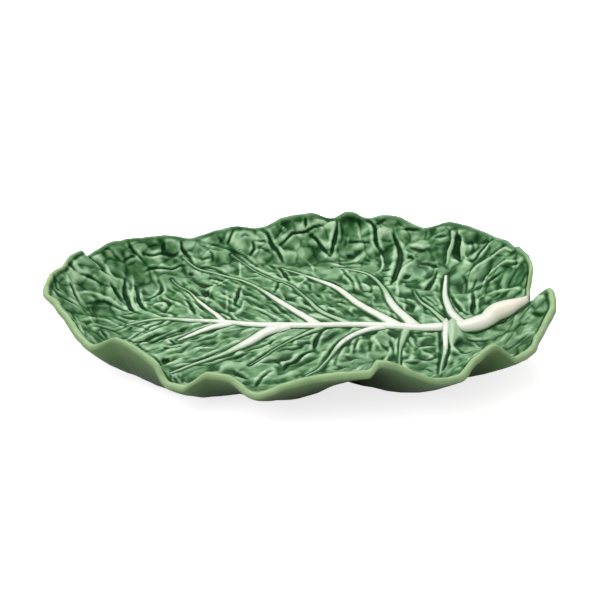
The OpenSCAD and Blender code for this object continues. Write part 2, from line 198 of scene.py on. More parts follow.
# %% Sockets that can be added and multiplied
class Socket:
    """one output of a node, or a bare tree to start from"""
    def __init__(self, tree, link=None):
        self.tree, self.link = tree, link

    def node(self, kind, settings=None, sockets=None, out=0):
        """any node: its settings, what its sockets are given, and which output is wanted"""
        made = self.tree.nodes.new(kind)
        for key, value in (settings or {}).items():
            if key == "stops":
                ramp = made.color_ramp.elements
                while len(ramp) < len(value):
                    ramp.new(0.5)
                for stop, (place, shade) in zip(ramp, value):
                    stop.position, stop.color = place, shade
            else:
                setattr(made, key, value)
        for key, value in (sockets or {}).items():
            if isinstance(value, Socket):
                self.tree.links.new(value.link, made.inputs[key])
            else:
                made.inputs[key].default_value = value
        return Socket(self.tree, made.outputs[out])

    def math(self, operation, a, b):
        return self.node("ShaderNodeMath", {"operation": operation}, {0: a, 1: b})

    def step(self, low, high, start=0.0, end=1.0):
        """0 below low, 1 above high, smooth between"""
        return self.node("ShaderNodeMapRange", {"interpolation_type": "SMOOTHSTEP"},
                         {0: self, 1: low, 2: high, 3: start, 4: end})

    def vector(self, operation, a, b):
        return self.node("ShaderNodeVectorMath", {"operation": operation}, {0: a, 1: b})

    def stretch(self, vector, amount):
        return self.node("ShaderNodeVectorMath", {"operation": "SCALE"}, {0: vector, "Scale": amount})

    def axis(self, vector, number):
        """one of a vector's three numbers"""
        return self.node("ShaderNodeSeparateXYZ", {}, {0: vector}, out=number)

    def noise(self, vector, scale, detail=2.0, out=0, seed=None):
        """soft noise from 0 to 1, or of three numbers with out=1; a seed makes it one of many"""
        given = {"Vector": vector, "Scale": scale, "Detail": detail}
        if seed is None:
            return self.node("ShaderNodeTexNoise", {}, given, out)
        return self.node("ShaderNodeTexNoise", {"noise_dimensions": "4D"}, {**given, "W": seed}, out)

    def shake(self, vector, scale, detail, seed, amount):
        """noise of three numbers, each up to the amount either way"""
        even = self.vector("SUBTRACT", self.noise(vector, scale, detail, 1, seed), (0.5, 0.5, 0.5))
        return self.stretch(even, amount*2.0)

    def blend(self, factor, a, b):
        return self.node("ShaderNodeMix", {"data_type": "RGBA"}, {0: factor, 6: a, 7: b}, out=2)

    def bump(self, height, distance, strength):
        return self.node("ShaderNodeBump", {}, {"Strength": strength, "Distance": distance, "Height": height})

# the four signs of arithmetic, with the socket on the left or on the right
for sign, operation in (("add", "ADD"), ("sub", "SUBTRACT"), ("mul", "MULTIPLY"), ("truediv", "DIVIDE")):
    setattr(Socket, f"__{sign}__", lambda a, b, kind=operation: a.math(kind, a, b))
    setattr(Socket, f"__r{sign}__", lambda a, b, kind=operation: a.math(kind, b, a))
print("Socket wraps:", [name for name in vars(Socket) if not name.startswith("__")])

# %% [markdown]
# ## Glaze colours
# Majolica glaze is a coloured glass. Where it lies thin, on a ridge, the pale
# clay shines through; where it pools it is almost black green. The ribs are
# cream glaze. The colours are named by thickness, from thin to pooled.

# %% Colours of the glazes
def colour(red, green, blue):
    """display values of 0 to 255, all above 10, made linear"""
    return (*(((v/255 + 0.055)/1.055)**2.4 for v in (red, green, blue)), 1.0)

THIN = colour(190, 222, 182)
RIDGE = colour(143, 185, 141)
LEAF = colour(94, 139, 92)
DEEP = colour(42, 92, 46)
POOLED = colour(14, 54, 20)
# painted highlight for the crest of the lip
LIP_HIGHLIGHT = colour(172, 204, 150)
OUTSIDE = colour(90, 122, 75)
# painted shade for the lowest part of the outside and the foot's glazed sides
UNDER_SHADE = colour(30, 52, 24)
CREAM = colour(246, 250, 236)
BLUSH = colour(250, 240, 224)
PALE_RIB = colour(178, 212, 168)
BARE_CLAY = colour(226, 210, 188)
print("leaf green, linear:", [round(v, 3) for v in LEAF[:3]])

# %% [markdown]
# ## Where the ribs run
# A thick midrib runs from the stalk to the tip, and thirteen side ribs leave
# it: seven towards the back wall and six towards the front. Each route is a
# few points in shares of the leaf's half length and half width. A smooth
# curve joins them and is laid on the leaf. The stalk stands up off the leaf,
# and one front rib climbs over the fold beside the stalk.

# %% Rib routes
MIDRIB_WID, RIB_WID = 18*mm, 7*mm
# along the leaf, across the leaf, width share, millimetres off the leaf, degrees turned to the front
MIDRIB = np.array([
    [.918, -.086, .40, 2.4, 24], [.89, -.050, .64, 4.8, 26], [.85, -.026, .90, 5.6, 26],
    [.80, -.020, 1.02, 5.6, 21], [.76, -.052, .90, 3.9, 17], [.72, -.066, .94, 2.5, 12],
    [.67, -.078, .88, 1.2, 6],
    [.60, -.08, .72, .4, 0], [.49, -.08, .56, 0, 0], [.40, -.063, .50, 0, 0],
    [.28, -.044, .42, 0, 0], [.16, -.043, .40, 0, 0], [.04, -.052, .44, 0, 0],
    [-.07, -.050, .44, 0, 0], [-.19, -.040, .38, 0, 0], [-.32, -.002, .30, 0, 0],
    [-.45, .013, .25, 0, 0], [-.54, .035, .20, 0, 0], [-.61, .020, .15, 0, 0],
    [-.70, -.040, .10, 0, 0]])
# width share, how far along it stays cream, millimetres off the leaf, then the route; below zero
# the root is sunk into the midrib, above zero the rib rides over the fold
SIDE_RIBS = {
    "back_rib_1": (.95, 1.1, -1, [[.67, -.075], [.63, .08], [.62, .19], [.62, .34], [.64, .54]]),
    "back_rib_2": (.50, .70, -1, [[.61, -.08], [.55, .14], [.51, .25], [.49, .40]]),
    "back_rib_3": (1.0, .42, -1, [[.47, -.075], [.39, .20], [.36, .44], [.31, .62], [.23, .69], [.15, .72]]),
    "back_rib_4": (1.0, .74, -1, [[.40, -.06], [.25, .21], [.16, .43], [.03, .60], [-.08, .71]]),
    "back_rib_5": (.50, .35, -1, [[.22, -.043], [.09, .12], [.03, .29], [-.04, .47], [-.12, .56],
                                  [-.22, .69], [-.31, .76]]),
    "back_rib_6": (.80, .42, -1, [[.08, -.05], [-.07, .22], [-.19, .45], [-.28, .56], [-.36, .60],
                                  [-.45, .62], [-.52, .66]]),
    "back_rib_7": (.48, .55, -1.6, [[-.30, -.005], [-.42, .24], [-.48, .39], [-.56, .50]]),
    "front_rib_1": (.60, .42, 5.6, [[.59, -.02], [.58, -.13], [.57, -.22], [.56, -.33], [.53, -.50],
                                    [.50, -.73]]),
    "front_rib_2": (.60, .45, -1, [[.43, -.068], [.39, -.30], [.37, -.52]]),
    "front_rib_3": (.72, .50, -1, [[.35, -.05], [.26, -.11], [.20, -.18], [.15, -.28], [.11, -.42],
                                   [.07, -.53], [.02, -.60]]),
    "front_rib_4": (.42, .30, -1, [[.10, -.048], [.01, -.16], [-.05, -.24], [-.10, -.32], [-.14, -.40],
                                   [-.19, -.49]]),
    "front_rib_5": (1.25, .46, -2.2, [[-.06, -.05], [-.14, -.14], [-.18, -.21], [-.23, -.29], [-.30, -.38],
                                   [-.36, -.44], [-.42, -.50], [-.49, -.58]]),
    "front_rib_6": (.85, .95, -1.8, [[-.28, -.01], [-.37, -.09], [-.43, -.16], [-.48, -.22]])}

def soft_step(value, low, high):
    """0 below low, 1 above high, smooth between"""
    f = np.clip((value - low)/(high - low), 0, 1)
    return f*f*(3 - 2*f)

ROUTE_STEP, CURVE_STEPS = 2*mm, 8

def smooth_route(points, step=ROUTE_STEP):
    """a curve through the points, cut into even steps"""
    points = np.asarray(points, float)
    ends = np.concatenate([[2*points[0] - points[1]], points, [2*points[-1] - points[-2]]])
    f = np.linspace(0, 1, CURVE_STEPS + 1)[:-1, None]
    rows = []
    for a, b, c, d in zip(ends, ends[1:], ends[2:], ends[3:]):
        rows.append(0.5*(2*b + (c - a)*f + (2*a - 5*b + 4*c - d)*f**2 + (3*b - a - 3*c + d)*f**3))
    line = np.concatenate(rows + [points[-1:]])
    far = np.concatenate([[0], np.cumsum(np.linalg.norm(np.diff(line[:, :2], axis=0), axis=1))])
    even = np.linspace(0, far[-1], max(3, int(far[-1]/step) + 1))
    return np.stack([np.interp(even, far, column) for column in line.T], -1)

def lay(route):
    """plan points laid on the leaf: places and the way the leaf faces there"""
    turn, reach, z = leaf_under(route[:, 0], route[:, 1])
    return np.column_stack([route[:, :2], z]), leaf_facing(turn, reach)

# %% Lay the ribs on the leaf
HALF = np.array([LEAF_LEN/2, LEAF_WID/2])
MIDRIB_CREAM = 0.80
# a side rib's width: its root, what it loses on its way and at its tip, and the flare at its root
ROOT_WIDTH, TAPER, TIP_TAPER = 1.15, 0.62, 0.25
FLARE, FLARE_RUN = 0.60, 12*mm
# where the cream ends a rib loses this share of its width, between so far before and after
TAIL_LOSS, TAIL_BEFORE, TAIL_AFTER = 0.45, 0.12, 0.20
# a root that is sunk into the midrib has come up to the leaf after this far
SINK_RUN = 18*mm
# the rib on the fold: its first width, how soon it is full, then the hump's top, length and power
HUMP_WIDTH, HUMP_GROWN = 0.35, 14*mm
HUMP_TOP, HUMP_RUN, HUMP_POWER = 16*mm, 50*mm, 0.8

rib_lines = {"midrib": (MIDRIB_WID, MIDRIB_CREAM, 0, MIDRIB)}
for name, (width, cream, rise, route) in SIDE_RIBS.items():
    rib_lines[name] = (RIB_WID*width, cream, rise, np.array(route))
laid = {}
for name, (width, cream, rise, route) in rib_lines.items():
    plan = np.column_stack([route[:, :2]*HALF + SHIFT[:2], route[:, 2:]])
    plan = smooth_route(plan)
    places, facing = lay(plan)
    share = np.linspace(0, 1, len(plan))
    far = share*len(plan)*ROUTE_STEP
    if name == "midrib":
        half = width/2*plan[:, 2]
        places = places + facing*plan[:, 3:4]*mm
        turned = np.radians(plan[:, 4:5])
        facing = unit(facing*np.cos(turned) - np.array([0, 1, 0])*np.sin(turned))
    else:
        tail = 1 - TAIL_LOSS*soft_step(share, cream - TAIL_BEFORE, cream + TAIL_AFTER)
        slim = ROOT_WIDTH - TAPER*share - TIP_TAPER*share**4
        half = width/2*(slim + FLARE*np.exp(-far/FLARE_RUN))*tail
        lift = 1 - soft_step(far, 0, SINK_RUN)
        if rise > 0:
            half = half*(HUMP_WIDTH + (1 - HUMP_WIDTH)*soft_step(far, 0, HUMP_GROWN))
            lift = np.cos(np.clip((far - HUMP_TOP)/HUMP_RUN, -0.5, 0.5)*np.pi)**HUMP_POWER
        places = places + facing*lift[:, None]*rise*mm
    laid[name] = (places, facing, half, cream)
print("ribs laid:", len(laid), "longest in points:", max(len(v[0]) for v in laid.values()))

# %% [markdown]
# ## A rib swept along its route
# A rib is a low rounded moulding that tapers. Geometry Nodes sweep one
# profile along the laid route: the profile leans with the leaf, its size
# follows the width at each point, and a little noise keeps it hand made. The
# tree stores how high on the rib a point is and how far along, for the glaze.

# %% The rib tree
def new_tree(name, inputs):
    """an empty Geometry Nodes tree with named inputs"""
    tree = bpy.data.node_groups.new(name, "GeometryNodeTree")
    tree.interface.new_socket("Geometry", in_out="INPUT", socket_type="NodeSocketGeometry")
    for title, kind, value in inputs:
        made = tree.interface.new_socket(title, in_out="INPUT", socket_type=kind)
        if value is not None:
            made.default_value = value
    tree.interface.new_socket("Geometry", in_out="OUTPUT", socket_type="NodeSocketGeometry")
    entry = tree.nodes.new("NodeGroupInput")
    return Socket(tree), {s.name: Socket(tree, s) for s in entry.outputs if s.name}

def close_tree(start, shape, finish):
    """smooth shading, Realize Instances and Set Material, then out"""
    shape = start.node("GeometryNodeSetShadeSmooth", {}, {"Geometry": shape})
    real = start.node("GeometryNodeRealizeInstances", {}, {0: shape})
    glazed = start.node("GeometryNodeSetMaterial", {}, {"Geometry": real, "Material": finish})
    leave = start.tree.nodes.new("NodeGroupOutput")
    start.tree.links.new(glazed.link, leave.inputs[0])
    return start.tree

def attribute(start, name, kind="FLOAT"):
    return start.node("GeometryNodeInputNamedAttribute", {"data_type": kind}, {"Name": name})

def store(start, shape, name, value):
    return start.node("GeometryNodeStoreNamedAttribute", {"data_type": "FLOAT", "domain": "POINT"},
                      {"Geometry": shape, "Name": name, "Value": value})

# points round a rib, its underside's depth to its width, and waves of noise to a metre
RIB_SIDES, UNDER_SHARE, RIB_WAVES = 20, 0.30, 110.0
start, given = new_tree("sweep a rib", [("Crown height", "NodeSocketFloat", 0.66),
                                        ("Unevenness", "NodeSocketFloat", 0.35*mm),
                                        ("Seed", "NodeSocketFloat", 3.0),
                                        ("Finish", "NodeSocketMaterial", None)])
rail = start.node("GeometryNodeMeshToCurve", {}, {0: given["Geometry"]})
rail = start.node("GeometryNodeSetCurveNormal", {"mode": "FREE"},
                  {"Curve": rail, "Normal": attribute(start, "side", "FLOAT_VECTOR")})
rail = store(start, rail, "along", start.node("GeometryNodeSplineParameter"))
ring = start.node("GeometryNodeCurvePrimitiveCircle", {"mode": "RADIUS"},
                  {"Resolution": RIB_SIDES, "Radius": 1.0})
place = start.node("GeometryNodeInputPosition")
wide, high = start.axis(place, 0), start.axis(place, 1)
crown = start.math("MAXIMUM", high, 0.0)*given["Crown height"] + start.math("MINIMUM", high, 0.0)*UNDER_SHARE
ring = store(start, ring, "crest", high)
ring = start.node("GeometryNodeSetPosition", {}, {
    "Geometry": ring, "Position": start.node("ShaderNodeCombineXYZ", {}, {0: wide, 1: crown})})
body = start.node("GeometryNodeCurveToMesh", {}, {
    "Curve": rail, "Profile Curve": ring, "Scale": attribute(start, "half"), "Fill Caps": True})
skin = start.node("GeometryNodeInputPosition")
shake = start.shake(skin, RIB_WAVES, 2.0, given["Seed"], given["Unevenness"])
body = start.node("GeometryNodeSetPosition", {}, {"Geometry": body, "Offset": shake})
rib_tree = close_tree(start, body, given["Finish"])
print("rib tree nodes:", len(rib_tree.nodes))

# %% A material that starts empty
def new_material(name, **constants):
    """a Principled material; constants are set straight on its shader"""
    made = bpy.data.materials.new(name)
    made.use_nodes = True
    tree = made.node_tree
    shader = tree.nodes["Principled BSDF"]
    for key, value in constants.items():
        shader.inputs[key.replace("_", " ")].default_value = value
    return made, Socket(tree), shader

def feed(start, shader, **links):
    for key, value in links.items():
        start.tree.links.new(value.link, shader.inputs[key.replace("_", " ")])

def read(start, name):
    """what a tree stored under this name"""
    kind = {"attribute_type": "GEOMETRY", "attribute_name": name}
    return start.node("ShaderNodeAttribute", kind, out="Fac")

def skin_place(start):
    return start.node("ShaderNodeTexCoord", out="Object")

# %% [markdown]
# ## Cream and pale green rib glazes
# The rib is brushed with cream over the clay. The green glaze around it runs
# up against its foot and leaves a dark line there, and it covers the rib
# again towards its thin end. So the colour reads how high and how far along
# the rib a point is, with a little noise where the two glazes meet.

# %% The rib glaze
# waves to a metre of the blots and of the fine grain
RIB_BLOTS, RIB_GRAIN = 130.0, 420.0
# where green covers the rib: how much the blots shift that, then where it starts and is full
COVER_BLOT, COVER_FROM, COVER_FULL = 0.35, -0.10, 0.14
# the green line at the rib's foot, in the same three numbers
EDGE_BLOT, EDGE_FROM, EDGE_FULL = 0.30, -0.08, 0.30
# how warm the stalk is, evenly and by the blots
WARM_EVEN, WARM_BLOT = 0.6, 0.8
GRAIN_DEPTH, GRAIN_STRENGTH = 0.3*mm, 0.25
RIB_ROUGH, RIB_ROUGH_GRAIN = 0.24, 0.16

def rib_glaze(name, pure, tipped):
    """the pure glaze near the midrib and along the crown, the tipped one towards the thin end"""
    made, start, shader = new_material(name, Coat_Weight=0.3, Coat_Roughness=0.12, IOR=1.5)
    place = skin_place(start)
    blot = start.noise(place, RIB_BLOTS, 3.0)
    crest, along, cream = read(start, "crest"), read(start, "along"), read(start, "cream")
    covered = (along - cream + (blot - 0.5)*COVER_BLOT).step(COVER_FROM, COVER_FULL)
    warm = start.blend(read(start, "blush")*(WARM_EVEN + blot*WARM_BLOT), pure, BLUSH)
    edge = (crest + (blot - 0.5)*EDGE_BLOT).step(EDGE_FROM, EDGE_FULL)
    body = start.blend(edge, LEAF, start.blend(covered, warm, tipped))
    fine = start.noise(place, RIB_GRAIN)
    bump = start.bump(fine, GRAIN_DEPTH, GRAIN_STRENGTH)
    feed(start, shader, Base_Color=body, Normal=bump, Roughness=RIB_ROUGH + fine*RIB_ROUGH_GRAIN)
    return made

cream_finish = rib_glaze("cream rib glaze", CREAM, PALE_RIB)
pale_finish = rib_glaze("pale rib glaze", PALE_RIB, RIDGE)
print("rib glazes:", cream_finish.name, "and", pale_finish.name)

# %% Sweep every rib
def give(mesh, name, values, kind="FLOAT"):
    """store one value for each point of a mesh"""
    made = mesh.attributes.new(name, kind, "POINT")
    field = "vector" if kind == "FLOAT_VECTOR" else "value"
    made.data.foreach_set(field, np.ravel(values).astype(np.float32))

def put(name, data):
    """a new object in the scene"""
    made = bpy.data.objects.new(name, data)
    bpy.context.scene.collection.objects.link(made)
    return made

def grow(mesh, name, tree, settings):
    """run a Geometry Nodes tree on a mesh and keep the result as a plain mesh"""
    seed = put(name, mesh)
    modifier = seed.modifiers.new("grow", "NODES")
    modifier.node_group = tree
    for item in tree.interface.items_tree:
        if item.in_out == "INPUT" and item.name in settings:
            modifier[item.identifier] = settings[item.name]
    view = bpy.context.evaluated_depsgraph_get()
    grown = bpy.data.meshes.new_from_object(seed.evaluated_get(view), depsgraph=view)
    seed.modifiers.remove(modifier)
    seed.data = grown
    bpy.data.meshes.remove(mesh)
    grown.name = name
    return seed

# the stalk's warm end fades out between these shares of the midrib
BLUSH_FROM, BLUSH_GONE = 0.02, 0.22
PALE_RIBS = ("back_rib_2", "back_rib_5", "front_rib_2", "front_rib_4")
ribs = {}
for number, (name, (places, facing, half, cream)) in enumerate(laid.items()):
    along = unit(np.gradient(places, axis=0))
    line = bpy.data.meshes.new(name + " route")
    line.from_pydata(places.tolist(), [(i, i + 1) for i in range(len(places) - 1)], [])
    give(line, "side", np.cross(facing, along), "FLOAT_VECTOR")
    give(line, "half", half)
    give(line, "cream", np.full(len(places), cream))
    stalk_share = 1 - soft_step(np.linspace(0, 1, len(places)), BLUSH_FROM, BLUSH_GONE)
    give(line, "blush", stalk_share if name == "midrib" else np.zeros(len(places)))
    ribs[name] = grow(line, name + "_glazed", rib_tree, {
        "Seed": float(number), "Finish": pale_finish if name in PALE_RIBS else cream_finish})
print("rib faces:", sum(len(r.data.polygons) for r in ribs.values()))

# %% [markdown]
# ## The leaf's skin
# The leaf is one closed skin: the upper face, a rounded lip, and the smooth
# outside that runs back under to the foot. A square net of points is bent
# into the egg, so its faces stay nearly square everywhere. Rings then go
# round the lip and in along the underside.

# %% Net of the upper face
# quads along and across the upper face
NET_X, NET_Y = 372, 214
# faces across the rounded lip, and the lip's thickness at the front and at the back
LIP_STEPS = 5
LIP_FRONT, LIP_BACK = 5.4*mm, 2.9*mm
# the lip thickens from its back to its front size between these heights of the plan's circle
LIP_CHANGE = -0.1, 0.4
# the outside swells into a belly at the front left: its size, then its direction and spread in degrees
BELLY, BELLY_AT, BELLY_SPREAD = 4.5*mm, 236, 11
# reaches of the underside's rings, and the reach from which inwards the clay has its full thickness
UNDER_REACH = [.96, .92, .88, .83, .78, .72, .65, .57]
FULL_REACH = 0.83
# the wall's slope is taken over this much of the reach
SECTION_STEP = 0.004

a, b = np.meshgrid(np.linspace(-1, 1, NET_X + 1), np.linspace(-1, 1, NET_Y + 1), indexing="ij")
flat_x, flat_y = a*np.sqrt(1 - b*b/2), b*np.sqrt(1 - a*a/2)
turn, reach = np.arctan2(flat_y, flat_x).ravel(), np.minimum(np.hypot(flat_x, flat_y), 1.0).ravel()
number = np.arange(len(turn)).reshape(a.shape)
top = leaf_at(turn, reach)
pool_share = pressed(top[:, 0], top[:, 1])
quads = np.stack([number[:-1, :-1], number[1:, :-1], number[1:, 1:], number[:-1, 1:]], -1).reshape(-1, 4)
border = np.concatenate([number[:, 0], number[-1, 1:], number[-2::-1, -1], number[0, -2:0:-1]])
print("upper face quads:", len(quads), "points round the rim:", len(border))

# %% Lip and underside rings
def section(turn, reach):
    """upper face points with their outward and upward ways in the wall's own section"""
    here = leaf_at(turn, reach)
    out = unit(here - leaf_at(turn, reach - SECTION_STEP))
    level = unit((here - SHIFT)*[1, 1, 0])
    up = -level*out[:, 2:] + np.array([0, 0, 1])*np.sum(level*out, axis=1, keepdims=True)
    return here, out, unit(up)

edge_turn = turn[border]
lip_t = (LIP_BACK + (LIP_FRONT - LIP_BACK)*soft_step(-np.sin(edge_turn), *LIP_CHANGE))[:, None]
here, out, up = section(edge_turn, np.ones(len(border)))
rings = []
belly = BELLY*np.exp(-((np.degrees(edge_turn) % 360 - BELLY_AT)/BELLY_SPREAD)**2)
for k in range(1, LIP_STEPS + 1):
    swing = np.pi*k/LIP_STEPS
    rings.append(here - up*lip_t/2 + (up*np.cos(swing) + out*np.sin(swing))*lip_t/2)
for share in UNDER_REACH:
    here, out, up = section(edge_turn, np.full(len(border), share))
    swell = belly*np.sin(np.pi*(share - UNDER_REACH[-1])/(1 - UNDER_REACH[-1]))
    ring = here - up*(lip_t + (CLAY_T - lip_t)*soft_step(share, 1.0, FULL_REACH) + swell[:, None])
    ring[:, 2] = np.maximum(ring[:, 2], FOOT_H)
    rings.append(ring)
sunk_top = top - np.outer(pool_share, [0, 0, HOLLOW_DEPTH])
points = [sunk_top] + rings + [np.array([[SHIFT[0], SHIFT[1], FOOT_H]])]
faces = [quads]
around = len(border)
inner = border
for k in range(len(rings)):
    outer = len(top) + k*around + np.arange(around)
    faces.append(np.stack([inner, np.roll(inner, 1), np.roll(outer, 1), outer], -1))
    inner = outer
middle = len(top) + len(rings)*around
fan = [(int(middle), int(p), int(q)) for p, q in zip(inner, np.roll(inner, 1))]
points = np.concatenate(points)
faces = np.concatenate(faces)
print("triangles in the leaf's skin:", 2*len(faces) + len(fan))

# %% [markdown]
# ## From the photograph to the leaf
# The camera stands 0.92 m away and looks 24 degrees down. A ray through a
# pixel of the photograph, walked down from above the rim, lands on the leaf
# at one place. So a crease can be named by the pixels where it is seen, and
# still lies on the leaf from every side. A pixel off the leaf takes the place
# where its ray passes nearest.

# %% Where a pixel lands on the leaf
STAND_OFF, LOOK_DOWN = 0.920, np.radians(24.0)
# the photograph's width and height, and the focal length, in pixels
PHOTO_PX, FOCAL_PX = 600, 1159.2
AIM = SHIFT + np.array([0, 0, 30*mm])
BACKWARD = np.array([0, -np.cos(LOOK_DOWN), np.sin(LOOK_DOWN)])
UPWARD = np.array([0, np.sin(LOOK_DOWN), np.cos(LOOK_DOWN)])
EYE = AIM + STAND_OFF*BACKWARD
# a ray is walked down from this height to the table in so many steps
RAY_TOP, RAY_STEPS = 60*mm, 600

def seen_at(pixels):
    """plan points of the leaf that the camera sees at pixels of the photograph"""
    right, up = (pixels[:, 0] - PHOTO_PX/2)/FOCAL_PX, (PHOTO_PX/2 - pixels[:, 1])/FOCAL_PX
    ray = np.outer(right, [1, 0, 0]) + np.outer(up, UPWARD) - BACKWARD
    far = (np.linspace(RAY_TOP, 0, RAY_STEPS) - EYE[2])/ray[:, 2:]
    path = EYE + far[..., None]*ray[:, None]
    _, reach, height = leaf_under(path[..., 0], path[..., 1])
    over, inside = path[..., 2] - height, reach <= 1
    lands = inside[:, :-1] & inside[:, 1:] & (over[:, :-1] > 0) & (over[:, 1:] <= 0)
    nearest = np.where(inside, np.abs(over), RAY_TOP).argmin(1)
    step = np.where(lands.any(1), lands.argmax(1), nearest)
    return path[np.arange(len(path)), step, :2]

middle_pixel = np.array([[PHOTO_PX/2, PHOTO_PX/2]])
print("the middle pixel lands at", np.round(seen_at(middle_pixel)[0]/mm, 1), "mm")

# %% [markdown]
# ## Cuts and ridges listed one by one
# The potter's mould has deep creases between the leaf's blisters, and small
# raised veins. The ones that stand out are listed here, each as a depth
# and a width in millimetres and the pixels that it runs through. These were
# picked in three enlarged crops of the 600 x 600 photograph. The rest of the
# crinkle is grown by a rule further down.

# %% Cuts and ridges
# each crop: the photograph's pixel at its upper left corner, and how many times it is enlarged
TIP_CROP = 30, 200, 5.407
LEFT_CROP = 100, 210, 6.272
RIGHT_CROP = 330, 200, 6.272
